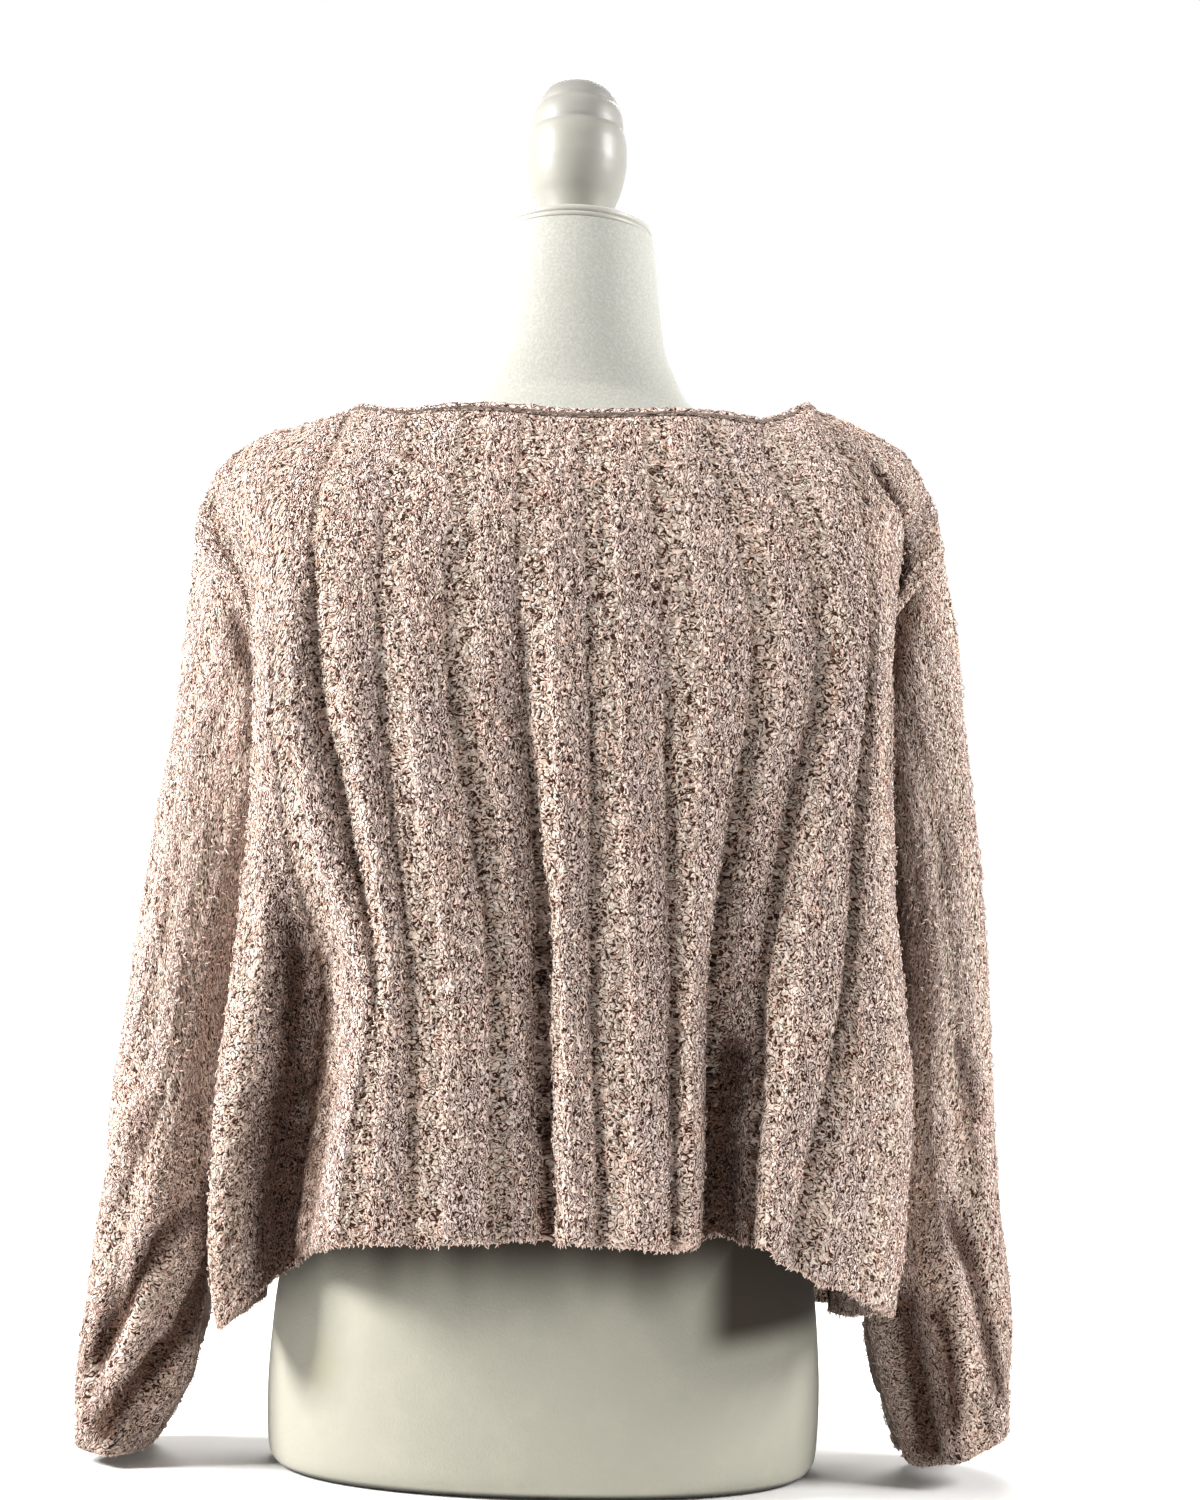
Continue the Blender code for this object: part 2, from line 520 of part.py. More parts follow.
# ------------------------------------------------------------------ the pullover
def make_pullover():
    knit = material("boucle_knit", (0.62, 0.50, 0.45), 0.95)
    sleeve_knit = material("boucle_knit_sleeve", (0.58, 0.46, 0.42), 0.95)
    edging = material("boucle_edging", (0.64, 0.52, 0.47), 0.95)
    a_list = np.linspace(-HALF_FLAT, HALF_FLAT, COLUMNS + 1)
    t_list = np.concatenate([
        np.linspace(0, UNDERARM_T, ROWS_BELOW + 1),
        np.linspace(UNDERARM_T, 1, ROWS_ABOVE + 1)[1:],
    ])
    back = panel(a_list, t_list, front=False)
    front = panel(a_list, t_list, front=True)
    rows, cols = back.shape[:2]
    s_list = np.linspace(0, 1, SLEEVE_RINGS + 1)

    def armhole(j):
        """Underarm, up the back, over the shoulder and down the front."""
        up = back[ROWS_BELOW:, j]
        down = front[ROWS_BELOW + 1 : -1, j][::-1]
        return np.concatenate([up, down])

    left = sleeve(SLEEVE_LEFT, armhole(0), s_list)
    right = sleeve(SLEEVE_RIGHT, armhole(-1), s_list)
    # neck edging: a ring that goes on from the panels' neckline
    first = int(round((HALF_FLAT - NECK_HALF) / (2 * HALF_FLAT) * COLUMNS))
    ahead = list(range(first, COLUMNS - first + 1))
    astern = ahead[-2:0:-1]
    loop = np.concatenate([back[-1, ahead], front[-1, astern]])
    lower = np.concatenate([back[-2, ahead], front[-2, astern]])
    rise = loop - lower
    rise /= np.linalg.norm(rise, axis=1)[:, None]
    for peak, seam in ((0, back[-1, first - 1]), (len(ahead) - 1, back[-1, cols - first])):
        rise[peak] = (loop[peak] - seam) / np.linalg.norm(loop[peak] - seam)
    rise = rise + 0.5 * (np.roll(rise, 1, axis=0) + np.roll(rise, -1, axis=0))
    rise /= np.linalg.norm(rise, axis=1)[:, None]
    band = np.stack([loop + rise * BAND_RISE * share for share in (0.0, 0.35, 1.0)])
    band_thick = np.repeat([[CLOTH], [BAND_THICK], [BAND_THICK]], len(loop), axis=1)
    # each sheet's faces turn their front side outwards
    panel_faces = grid_faces(rows, cols)
    flipped = [tuple(reversed(face)) for face in panel_faces]
    ring_faces = grid_faces(len(s_list), left.shape[1], wrap=True)
    ring_flipped = [tuple(reversed(face)) for face in ring_faces]
    pieces = (
        ("sweater_back", back, panel_faces, knit, None),
        ("sweater_front", front, flipped, knit, None),
        ("sleeve_left", left, ring_faces, sleeve_knit, None),
        ("sleeve_right", right, ring_flipped, sleeve_knit, None),
        ("neck_band", band, grid_faces(3, len(loop), wrap=True), edging, band_thick),
    )
    normals = shared_normals([(points, faces) for _, points, faces, _, _ in pieces])
    for (name, points, faces, finish, thick), normal in zip(pieces, normals):
        wall(name, points, normal, faces, finish, thick, 2 * GAP if "sweater" in name else 4 * GAP)


# ------------------------------------------------------------------ the dress form
def neck_axis(height):
    """Middle of the neck at a height measured along its axis from NECK_FROM."""
    return np.array([0.0, math.sin(NECK_LEAN) * height, NECK_FROM + math.cos(NECK_LEAN) * height])


def turned(name, profile, base, finish, top=None):
    """A solid turned on the neck's axis, base being the height of its foot along it."""
    away = np.array([0.0, math.cos(NECK_LEAN), -math.sin(NECK_LEAN)])
    side = np.array([1.0, 0.0, 0.0])
    rings = []
    for radius, height in profile:
        middle = neck_axis(base + height)
        rings.append([
            middle + radius * (math.cos(w) * side + math.sin(w) * away)
            for w in (2 * math.pi * k / TURN_SIDES for k in range(TURN_SIDES))
        ])
    return rings_solid(name, rings, finish, None if top is None else neck_axis(base + top))


def make_form():
    jersey = material("form_jersey", (0.74, 0.73, 0.68), 0.9)
    shell = material("form_cap", (0.80, 0.79, 0.74), 0.35)
    lacquer = material("form_finial", (0.76, 0.75, 0.70), 0.3)
    rings = []
    for z, half, deep_back, deep_front in FORM:
        over = max(0.0, z - NECK_FROM)
        lean = NECK_LEAN * min(1.0, over / 0.06)
        middle_y = math.tan(NECK_LEAN) * over * min(1.0, over / 0.03)
        ring = []
        for k in range(FORM_SIDES):
            w = 2 * math.pi * k / FORM_SIDES
            c, s = math.cos(w), math.sin(w)
            power = 0.90 if z < 0.62 else 1.0
            x = half * math.copysign(abs(c) ** power, c)
            y = (deep_front if s > 0 else deep_back) * math.copysign(abs(s) ** power, s)
            ring.append((x, middle_y + y * math.cos(lean), z - y * math.sin(lean)))
        rings.append(ring)
    rings_solid("form_torso", rings, jersey)
    foot = (NECK_TOP - NECK_FROM) / math.cos(NECK_LEAN)
    turned("form_neck_cap", CAP, foot + GAP, shell)
    turned("form_finial", FINIAL, foot + CAP[-1][1] + 2 * GAP, lacquer, FINIAL_TOP)


for old in list(bpy.data.objects):
    bpy.data.objects.remove(old, do_unlink=True)
make_form()
make_pullover()
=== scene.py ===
"""Looks for the ribbed boucle pullover on its dress form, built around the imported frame.

Metres, +Z up, the same frame as the solids.  The cloth pieces repeat the middle surfaces of
the solids at a finer step, then add what cloth has: creases, the rib's relief, boucle
curls, loops of yarn and loose ends.  A few surface tables come again here because this
script reads nothing but the frame.
"""

import math

import bpy
import numpy as np
from mathutils import Matrix


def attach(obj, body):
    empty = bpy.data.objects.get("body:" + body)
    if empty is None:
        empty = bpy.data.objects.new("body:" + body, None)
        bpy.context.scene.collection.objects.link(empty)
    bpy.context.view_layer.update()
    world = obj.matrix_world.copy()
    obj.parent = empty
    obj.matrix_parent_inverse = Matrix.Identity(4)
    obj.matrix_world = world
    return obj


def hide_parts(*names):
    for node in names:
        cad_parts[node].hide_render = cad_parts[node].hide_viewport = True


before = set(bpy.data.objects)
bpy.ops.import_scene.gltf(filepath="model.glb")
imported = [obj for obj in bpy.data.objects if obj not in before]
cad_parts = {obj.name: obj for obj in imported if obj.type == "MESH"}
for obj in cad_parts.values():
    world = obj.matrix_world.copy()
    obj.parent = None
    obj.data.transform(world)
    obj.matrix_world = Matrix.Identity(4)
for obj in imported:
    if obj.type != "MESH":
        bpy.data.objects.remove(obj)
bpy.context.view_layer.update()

# ------------------------------------------------------------------ driving dimensions
CLOTH = 0.003  # thickness of the knit
GAP = 0.0003  # between two pieces at a seam
RIB = 0.040  # one rib of the knit: a raised band and a sunk one
HALF_FLAT = 0.300  # half of a panel's flat width
NECK_HALF = 0.160  # half of the neck opening, along the flat knit
BAND_RISE = 0.007  # height of the neck edging
BAND_THICK = 0.0038
UNDERARM_T = 0.40  # the armhole starts here, as a share of the panel's length
SHOULDER_T = 0.62  # above this the panel bends over the shoulder


# ------------------------------------------------------------------ tables
# The fold that hangs at each side of the back, its outermost line.
# share of length, x left, x right, y
BACK_EDGE = (
    (0.00, -0.1925, 0.2065, -0.078),
    (0.10, -0.1985, 0.2120, -0.078),
    (0.22, -0.1965, 0.2115, -0.078),
    (0.34, -0.1905, 0.2050, -0.076),
    (0.48, -0.1840, 0.1985, -0.074),
    (0.62, -0.1795, 0.1965, -0.074),
    (0.74, -0.1810, 0.1960, -0.074),
    (0.86, -0.2010, 0.2010, -0.066),
    (0.94, -0.2075, 0.2070, -0.040),
    (1.00, -0.2010, 0.2040, 0.000),
)
# share of length, x left, x right, y
FRONT_EDGE = (
    (0.00, -0.1930, 0.1950, 0.082),
    (0.22, -0.1960, 0.1980, 0.082),
    (0.48, -0.1880, 0.1930, 0.080),
    (0.62, -0.1830, 0.1900, 0.078),
    (0.74, -0.1840, 0.1900, 0.078),
    (0.86, -0.2000, 0.2010, 0.066),
    (0.94, -0.2070, 0.2070, 0.040),
    (1.00, -0.2010, 0.2040, 0.000),
)
# Side seam up to the underarm, then the armhole up to the shoulder.
# share of length, x left, x right, y (back), z
SEAM = (
    (0.00, -0.1720, 0.1740, 0.000, 0.0980),
    (0.10, -0.1680, 0.1700, 0.000, 0.1500),
    (0.20, -0.1590, 0.1620, 0.000, 0.2030),
    (0.30, -0.1570, 0.1600, 0.000, 0.2520),
    (0.40, -0.1690, 0.1730, 0.000, 0.3000),
    (0.45, -0.1690, 0.1740, -0.020, 0.3200),
    (0.50, -0.1690, 0.1750, -0.033, 0.3550),
    (0.60, -0.1690, 0.1770, -0.041, 0.4100),
    (0.70, -0.1720, 0.1810, -0.044, 0.4550),
    (0.80, -0.1830, 0.1900, -0.042, 0.4980),
    (0.90, -0.2030, 0.2080, -0.030, 0.5380),
    (1.00, -0.2255, 0.2295, 0.000, 0.5600),
)
# Shoulder seam, from the neck to the sleeve.
# place across the knit, x left, z left, x right, z right
SHOULDER = (
    (0.160, -0.1330, 0.6385, 0.1500, 0.6470),
    (0.190, -0.1600, 0.6300, 0.1710, 0.6385),
    (0.220, -0.1850, 0.6215, 0.1900, 0.6300),
    (0.240, -0.2010, 0.6125, 0.2040, 0.6220),
    (0.260, -0.2125, 0.6000, 0.2150, 0.6060),
    (0.280, -0.2205, 0.5830, 0.2245, 0.5860),
    (0.300, -0.2255, 0.5600, 0.2295, 0.5600),
)
# Where the sunk lines of the rib lie on the back, a row for each height.
# z, then x of lines -1 to 9 (line 4 is at the middle of the knit)
FURROW_Z = (0.120, 0.177, 0.293, 0.391, 0.489, 0.560, 0.640)
FURROW_X = (
    (-0.1560, -0.1190, -0.0790, -0.0310, 0.0010, 0.0320, 0.0735, 0.0900, 0.1165, 0.1400, 0.1800),
    (-0.1480, -0.1164, -0.0788, -0.0326, -0.0020, 0.0298, 0.0725, 0.0904, 0.1176, 0.1442, 0.1846),
    (-0.1340, -0.1038, -0.0830, -0.0357, -0.0079, 0.0232, 0.0695, 0.0914, 0.1209, 0.1665, 0.1940),
    (-0.1568, -0.1221, -0.0944, -0.0499, -0.0136, 0.0200, 0.0644, 0.1008, 0.1309, 0.1736, 0.1900),
    (-0.1720, -0.1449, -0.1062, -0.0669, -0.0236, 0.0168, 0.0602, 0.1110, 0.1480, 0.1774, 0.1890),
    (-0.1830, -0.1480, -0.1080, -0.0680, -0.0270, 0.0130, 0.0550, 0.1010, 0.1400, 0.1740, 0.1930),
    (-0.1690, -0.1310, -0.1010, -0.0650, -0.0280, 0.0100, 0.0470, 0.0840, 0.1180, 0.1490, 0.1780),
)
# Depth of the hanging panels: z, y of the back's middle, y of the front's middle
DEPTH = (
    (0.100, -0.1360, 0.1270),
    (0.170, -0.1330, 0.1300),
    (0.290, -0.1280, 0.1350),
    (0.400, -0.1240, 0.1380),
    (0.460, -0.1210, 0.1320),
    (0.520, -0.1170, 0.1180),
)
# Hem: place across the knit, z of the back, z of the front
HEM = (
    (-0.300, 0.0980, 0.0980),
    (-0.265, 0.0900, 0.0870),
    (-0.240, 0.0890, 0.0860),
    (-0.215, 0.1120, 0.1000),
    (-0.190, 0.1360, 0.1180),
    (-0.165, 0.1470, 0.1280),
    (-0.100, 0.1500, 0.1360),
    (-0.050, 0.1530, 0.1390),
    (0.000, 0.1515, 0.1400),
    (0.050, 0.1500, 0.1390),
    (0.100, 0.1540, 0.1290),
    (0.130, 0.1530, 0.1150),
    (0.165, 0.1390, 0.0980),
    (0.200, 0.1240, 0.0890),
    (0.240, 0.1090, 0.0845),
    (0.265, 0.1050, 0.0850),
    (0.300, 0.0980, 0.0980),
)
# Folds, each a soft trough (depth over zero) or ridge (under zero) down the panel.
# place across the knit, half width, then depth at z 0.12, 0.20, 0.29, 0.38, 0.47, 0.56
FOLD_Z = (0.120, 0.200, 0.290, 0.380, 0.470, 0.560)
BACK_FOLDS = (
    (-0.200, 0.026, 0.040, 0.036, 0.027, 0.010, 0.000, 0.000),
    (-0.160, 0.018, 0.000, 0.000, 0.003, 0.009, 0.007, 0.001),
    (-0.120, 0.016, 0.003, 0.003, 0.004, 0.004, 0.003, 0.001),
    (-0.066, 0.026, 0.013, 0.009, 0.006, 0.006, 0.004, 0.001),
    (-0.040, 0.016, 0.012, 0.011, 0.011, 0.009, 0.005, 0.001),
    (0.000, 0.015, 0.003, 0.003, 0.004, 0.004, 0.002, 0.001),
    (0.040, 0.015, 0.004, 0.005, 0.006, 0.005, 0.002, 0.001),
    (0.098, 0.032, 0.036, 0.030, 0.016, 0.005, 0.001, 0.000),
    (0.080, 0.016, 0.000, 0.003, 0.007, 0.009, 0.004, 0.001),
    (0.120, 0.016, 0.000, 0.003, 0.007, 0.008, 0.006, 0.002),
    (0.160, 0.018, 0.006, 0.006, 0.006, 0.006, 0.003, 0.001),
)
FRONT_FOLDS = (
    (-0.190, 0.030, 0.034, 0.030, 0.020, 0.006, 0.000, 0.000),
    (-0.130, 0.022, 0.012, 0.010, 0.007, 0.003, 0.000, 0.000),
    (-0.070, 0.028, 0.017, 0.013, 0.008, 0.002, 0.000, 0.000),
    (-0.010, 0.020, 0.006, 0.005, 0.004, 0.001, 0.000, 0.000),
    (0.060, 0.030, 0.018, 0.014, 0.008, 0.002, 0.000, 0.000),
    (0.120, 0.020, 0.009, 0.008, 0.005, 0.002, 0.000, 0.000),
    (0.180, 0.030, 0.032, 0.028, 0.018, 0.006, 0.000, 0.000),
)
# Sleeves: the outer and the inner line of the hanging tube, which slope down and out.
# share of sleeve, outer x, outer z, inner x, inner z, half depth, y of the middle
SLEEVE_LEFT = (
    (0.00, -0.2255, 0.5600, -0.1690, 0.3000, 0.038, 0.000),
    (0.08, -0.2290, 0.5200, -0.1820, 0.2860, 0.037, 0.001),
    (0.22, -0.2345, 0.4500, -0.1900, 0.2540, 0.041, 0.002),
    (0.36, -0.2440, 0.3800, -0.1930, 0.2130, 0.045, 0.003),
    (0.50, -0.2540, 0.3050, -0.1960, 0.1720, 0.049, 0.003),
    (0.64, -0.2625, 0.2350, -0.2030, 0.1330, 0.051, 0.003),
    (0.78, -0.2710, 0.1600, -0.2085, 0.0930, 0.052, 0.003),
    (0.90, -0.2800, 0.0800, -0.2170, 0.0480, 0.052, 0.002),
    (1.00, -0.2825, 0.0075, -0.2345, 0.0070, 0.051, 0.002),
)
SLEEVE_RIGHT = (
    (0.00, 0.2295, 0.5600, 0.1730, 0.3000, 0.038, 0.000),
    (0.08, 0.2385, 0.5180, 0.1900, 0.2880, 0.036, -0.001),
    (0.22, 0.2465, 0.4500, 0.1920, 0.2540, 0.040, 0.003),
    (0.36, 0.2548, 0.3820, 0.1935, 0.2130, 0.043, 0.004),
    (0.50, 0.2615, 0.3150, 0.1930, 0.1720, 0.046, 0.005),
    (0.64, 0.2680, 0.2400, 0.1960, 0.1330, 0.048, 0.005),
    (0.78, 0.2740, 0.1650, 0.1980, 0.0930, 0.050, 0.004),
    (0.90, 0.2830, 0.0850, 0.2065, 0.0500, 0.052, 0.002),
    (1.00, 0.2835, 0.0280, 0.2200, 0.0065, 0.051, 0.002),
)
# Soft folds along a sleeve: share round the sleeve (0 inner, 0.5 outer, back first),
# half width of it, then depth at share of sleeve 0, 0.3, 0.6, 0.85, 1
SLEEVE_FOLD_S = (0.0, 0.3, 0.6, 0.85, 1.0)
SLEEVE_FOLDS = (
    (0.17, 0.060, 0.000, 0.003, 0.006, 0.010, 0.005),
    (0.33, 0.055, 0.000, 0.002, 0.005, 0.008, 0.004),
    (0.66, 0.060, 0.000, 0.003, 0.006, 0.008, 0.004),
    (0.83, 0.055, 0.000, 0.002, 0.005, 0.008, 0.004),
)

# Dress form: z, half width, depth at the back, depth at the front
FORM = (
    (0.0000, 0.1575, 0.1040, 0.0980),
    (0.0030, 0.1630, 0.1090, 0.1030),
    (0.0090, 0.1665, 0.1120, 0.1060),
    (0.0450, 0.1680, 0.1130, 0.1070),
    (0.0900, 0.1655, 0.1130, 0.1070),
    (0.1300, 0.1600, 0.1110, 0.1050),
    (0.1700, 0.1490, 0.1040, 0.0990),
    (0.2000, 0.1375, 0.0950, 0.0930),
    (0.2600, 0.1190, 0.0830, 0.0850),
    (0.3200, 0.1240, 0.0880, 0.0980),
    (0.4000, 0.1400, 0.0980, 0.1200),
    (0.4600, 0.1480, 0.1040, 0.1150),
    (0.5200, 0.1560, 0.1060, 0.0980),
    (0.5650, 0.1640, 0.0990, 0.0820),
    (0.5900, 0.1660, 0.0870, 0.0690),
    (0.6050, 0.1620, 0.0770, 0.0590),
    (0.6160, 0.1480, 0.0690, 0.0500),
    (0.6240, 0.1280, 0.0640, 0.0470),
    (0.6310, 0.1060, 0.0600, 0.0460),
    (0.6390, 0.0860, 0.0560, 0.0470),
    (0.6500, 0.0723, 0.0530, 0.0500),
    (0.6640, 0.0645, 0.0510, 0.0500),
    (0.6840, 0.0570, 0.0500, 0.0500),
    (0.7140, 0.0530, 0.0495, 0.0495),
    (0.7500, 0.0490, 0.0480, 0.0480),
)
NECK_LEAN = math.radians(13.0)  # the neck leans to the front
NECK_FROM = 0.620  # and starts to lean here
NECK_TOP = 0.7500
# Neck cap and finial, turned on the neck's axis: radius, height above the neck
CAP = ((0.0440, 0.0), (0.0475, 0.0006), (0.0475, 0.0028), (0.0466, 0.0034), (0.0466, 0.0038),
       (0.0475, 0.0046), (0.0475, 0.0066), (0.0466, 0.0075), (0.0440, 0.0079))
FINIAL = ((0.0195, 0.0), (0.0215, 0.0030), (0.0228, 0.0100), (0.0247, 0.0175), (0.0275, 0.0255),
          (0.0297, 0.0345), (0.0309, 0.0440), (0.0308, 0.0530), (0.0295, 0.0615), (0.0284, 0.0645),
          (0.0279, 0.0658), (0.0283, 0.0672), (0.0277, 0.0735), (0.0260, 0.0790), (0.0247, 0.0808),
          (0.0242, 0.0820), (0.0240, 0.0832), (0.0212, 0.0895), (0.0160, 0.0950), (0.0088, 0.0988))
FINIAL_TOP = 0.1001


# ------------------------------------------------------------------ curves
def curve(knots, values, at):
    """A smooth curve through (knots, values) that never swings past them."""
    knots, values = np.asarray(knots, float), np.asarray(values, float)
    at = np.clip(np.asarray(at, float), knots[0], knots[-1])
    step = np.diff(knots)
    slope = np.diff(values) / step
    bend = np.zeros(len(knots))
    bend[0], bend[-1] = slope[0], slope[-1]
    for k in range(1, len(knots) - 1):
        if slope[k - 1] * slope[k] > 0:
            w1, w2 = 2 * step[k] + step[k - 1], step[k] + 2 * step[k - 1]
            bend[k] = (w1 + w2) / (w1 / slope[k - 1] + w2 / slope[k])
    k = np.clip(np.searchsorted(knots, at, side="right") - 1, 0, len(knots) - 2)
    h, s = step[k], (at - knots[k]) / step[k]
    return (
        values[k] * (1 + 2 * s) * (1 - s) ** 2
        + bend[k] * h * s * (1 - s) ** 2
        + values[k + 1] * s * s * (3 - 2 * s)
        + bend[k + 1] * h * s * s * (s - 1)
    )


def column(table, number, at):
    """One named column of a table, as a curve over its first column."""
    rows = np.asarray(table, float)
    return curve(rows[:, 0], rows[:, number], at)


def bump(offset, half_width):
    """1 at the middle of a fold, 0 past its reach."""
    return np.exp(-((offset / half_width) ** 2) * 1.6)


# ------------------------------------------------------------------ the panels
def top_line(a, front):
    """Top edge of a panel: shoulder seam, neckline, shoulder seam."""
    a = np.asarray(a, float)
    out = np.abs(a)
    right = a > 0
    x = np.where(right, column(SHOULDER, 3, out), column(SHOULDER, 1, out))
    z = np.where(right, column(SHOULDER, 4, out), column(SHOULDER, 2, out))
    y = np.zeros_like(a)
    neck = out < NECK_HALF
    share = np.clip(a / NECK_HALF, -1, 1)
    round_off = np.sqrt(np.clip(1 - share**2, 0, 1))
    left_x, right_x = SHOULDER[0][1], SHOULDER[0][3]
    peak = np.where(right, SHOULDER[0][4], SHOULDER[0][2])
    middle = (left_x + right_x) / 2
    neck_x = middle + (right_x - left_x) / 2 * share
    if front:
        neck_y = 0.082 * round_off
        neck_z = peak - (peak - 0.584) * round_off**2.0
    else:
        neck_y = -0.082 * round_off**0.8
        level = 0.6330 - 0.0015 * np.cos(a / NECK_HALF * 2.2 * math.pi)
        neck_z = level + (peak - level) * np.clip((np.abs(share) - 0.72) / 0.28, 0, 1) ** 1.5
    return np.where(neck, neck_x, x), np.where(neck, neck_y, y), np.where(neck, neck_z, z)


def panel(a_list, t_list, front):
    """Middle surface of the back or the front, as an array [row, column, xyz]."""
    a = np.asarray(a_list, float)
    grid = np.zeros((len(t_list), len(a), 3))
    side = 1.0 if front else -1.0
    hem = column(HEM, 2 if front else 1, a)
    shoulder_z = curve((0.0, 0.16, 0.24, 0.30), (0.460, 0.460, 0.438, 0.410), np.abs(a))
    top_x, top_y, top_z = top_line(a, front)
    lines = np.arange(-1, 10)
    edge = FRONT_EDGE if front else BACK_EDGE
    folds = FRONT_FOLDS if front else BACK_FOLDS
    # how far round the shoulder the panel bends: a quarter turn at the seam, less at the neck
    turn = np.radians(curve((0.0, 0.10, 0.16, 0.20), (62, 68, 88, 90), np.abs(a)))
    for row, t in enumerate(t_list):
        s = (t - SHOULDER_T) / (1 - SHOULDER_T)
        # the last rows reach the shoulder seam without a step
        close = min(max((s - 0.60) / 0.40, 0.0), 1.0)
        close = close * close * (3 - 2 * close)
        if s <= 0:
            z = hem + (shoulder_z - hem) * t / SHOULDER_T
            over = np.zeros_like(a)
        else:
            phi = turn * s
            z = shoulder_z + (top_z - shoulder_z) * np.sin(phi) / np.sin(turn)
            over = (1 - np.cos(phi)) / (1 - np.cos(turn))
        zc = float(np.interp(0.0, a, z)) if len(a) > 1 else float(z[0])
        # x of each rib line at this height
        if front:
            spread = curve((0.10, 0.30, 0.50, 0.60), (0.90, 0.90, 0.95, 0.93), zc)
            line_x = (lines - 4) * RIB * spread + 0.004
            line_x = line_x * (1 - 0.06 * abs(line_x / 0.18) ** 3)
        else:
            line_x = np.array([curve(FURROW_Z, [r[n] for r in FURROW_X], zc) for n in range(11)])
        ex = [float(column(edge, 1, t)), float(column(edge, 2, t))]
        ey = float(column(edge, 3, t))
        bx = [float(column(SEAM, 1, t)), float(column(SEAM, 2, t))]
        by = -side * float(column(SEAM, 3, t))
        depth = float(column(DEPTH, 2 if front else 1, min(zc, 0.52)))
        # inside the fold edges the lines keep their own x, and stay inside the edges
        inner = np.clip(line_x, ex[0] + 0.012, ex[1] - 0.012)
        inner[0] = min(inner[0], inner[1] - 0.014)
        inner[-1] = max(inner[-1], inner[-2] + 0.010)
        place = np.concatenate([[-0.300, -0.272, -0.243], (lines - 4) * RIB, [0.243, 0.272, 0.300]])
        xs = np.concatenate([
            [bx[0], bx[0] * 0.52 + ex[0] * 0.48, ex[0]], inner,
            [ex[1], bx[1] * 0.52 + ex[1] * 0.48, bx[1]],
        ])
        bow = 1 - 0.10 * np.abs((inner - 0.5 * (ex[0] + ex[1])) / 0.19) ** 4
        line_y = depth * bow
        line_y[0] = depth * 0.70 + ey * 0.30
        line_y[-1] = depth * 0.70 + ey * 0.30
        ys = np.concatenate([
            [by, by * 0.48 + ey * 0.52, ey], line_y, [ey, by * 0.48 + ey * 0.52, by],
        ])
        x = curve(place, xs, a)
        y = curve(place, ys, a)
        for fold in folds:
            deep = curve(FOLD_Z, fold[2:], z)
            y = y - side * deep * bump(a - fold[0], fold[1]) * (1 - over)
        # over the shoulder: from the hanging depth to the top line
        if s > 0:
            blend = over**1.0
            rest = np.abs(a) >= HALF_FLAT - 1e-9
            # eased to the armhole's own line, which the coarse solids meet in one facet
            keep = np.clip((np.abs(a) - 0.262) / (HALF_FLAT - 0.262), 0, 1)
            y = np.where(rest, y, y + (top_y - y) * over * (1 - keep * keep * (3 - 2 * keep)))
            toward = s**2 * (3 - 2 * s)
            wide = np.where(np.abs(a) <= 0.201, 1.0, np.clip((HALF_FLAT - np.abs(a)) / 0.099, 0, 1))
            x = x + (top_x - x) * toward * wide * blend
            x = x + (top_x - x) * close
        # the side line itself follows its own table
        seam_z = float(column(SEAM, 4, t))
        near = np.clip((np.abs(a) - 0.243) / (HALF_FLAT - 0.243), 0, 1)
        z = z + (seam_z - z) * near**1.5 * (1 - close)
        grid[row, :, 0], grid[row, :, 1], grid[row, :, 2] = x, y, z
        for end in (0, -1):
            if abs(abs(a[end]) - HALF_FLAT) < 1e-9:
                grid[row, end] = (bx[0 if a[end] < 0 else 1], by, seam_z)
    if abs(t_list[-1] - 1.0) < 1e-9:
        grid[-1, :, 0], grid[-1, :, 1], grid[-1, :, 2] = top_x, top_y, top_z
    return grid


# ------------------------------------------------------------------ the sleeves
def sleeve(table, loop, s_list):
    """Rings from the armhole loop to the cuff.  Point 0 of a ring is the underarm side,
    the middle one is the outer side, and the back comes first."""
    count = len(loop)
    around = np.arange(count) / count
    phi = 2 * math.pi * around
    start_inner, start_outer = loop[0], loop[count // 2]
    span = start_outer - start_inner
    reach = np.linalg.norm(span)
    rel = loop - start_inner
    loop_u = rel @ span / reach**2
    normal = np.cross(span / reach, (0.0, 1.0, 0.0))
    loop_n = rel @ normal
    loop_y = loop[:, 1]
    rings = np.zeros((len(s_list), count, 3))
    for m, s in enumerate(s_list):
        outer = np.array([column(table, 1, s), 0.0, column(table, 2, s)])
        inner = np.array([column(table, 3, s), 0.0, column(table, 4, s)])
        half, mid_y = float(column(table, 5, s)), float(column(table, 6, s))
        own = 1.0 - max(0.0, 1.0 - s / 0.30) ** 2
        # a hanging, half flat tube: blunter than an ellipse
        u = loop_u * (1 - own) + (0.5 - 0.5 * np.cos(phi)) * own
        sine = np.sin(phi)
        y_own = -np.sign(sine) * np.abs(sine) ** 0.8 * half
        y = loop_y * (1 - own) + (y_own + mid_y) * own
        axis = outer - inner
        ring = inner + u[:, None] * axis
        ring[:, 1] = y
        ring += normal * (loop_n * (1 - own))[:, None]
        middle = ring.mean(axis=0)
        for place, width, *deep in SLEEVE_FOLDS:
            away = (around - place + 0.5) % 1.0 - 0.5
            pull = curve(SLEEVE_FOLD_S, deep, s) * bump(away, width)
            toward = middle - ring
            toward /= np.maximum(np.linalg.norm(toward, axis=1), 1e-9)[:, None]
            ring += toward * pull[:, None]
        rings[m] = loop if m == 0 and s == 0 else ring
    return rings


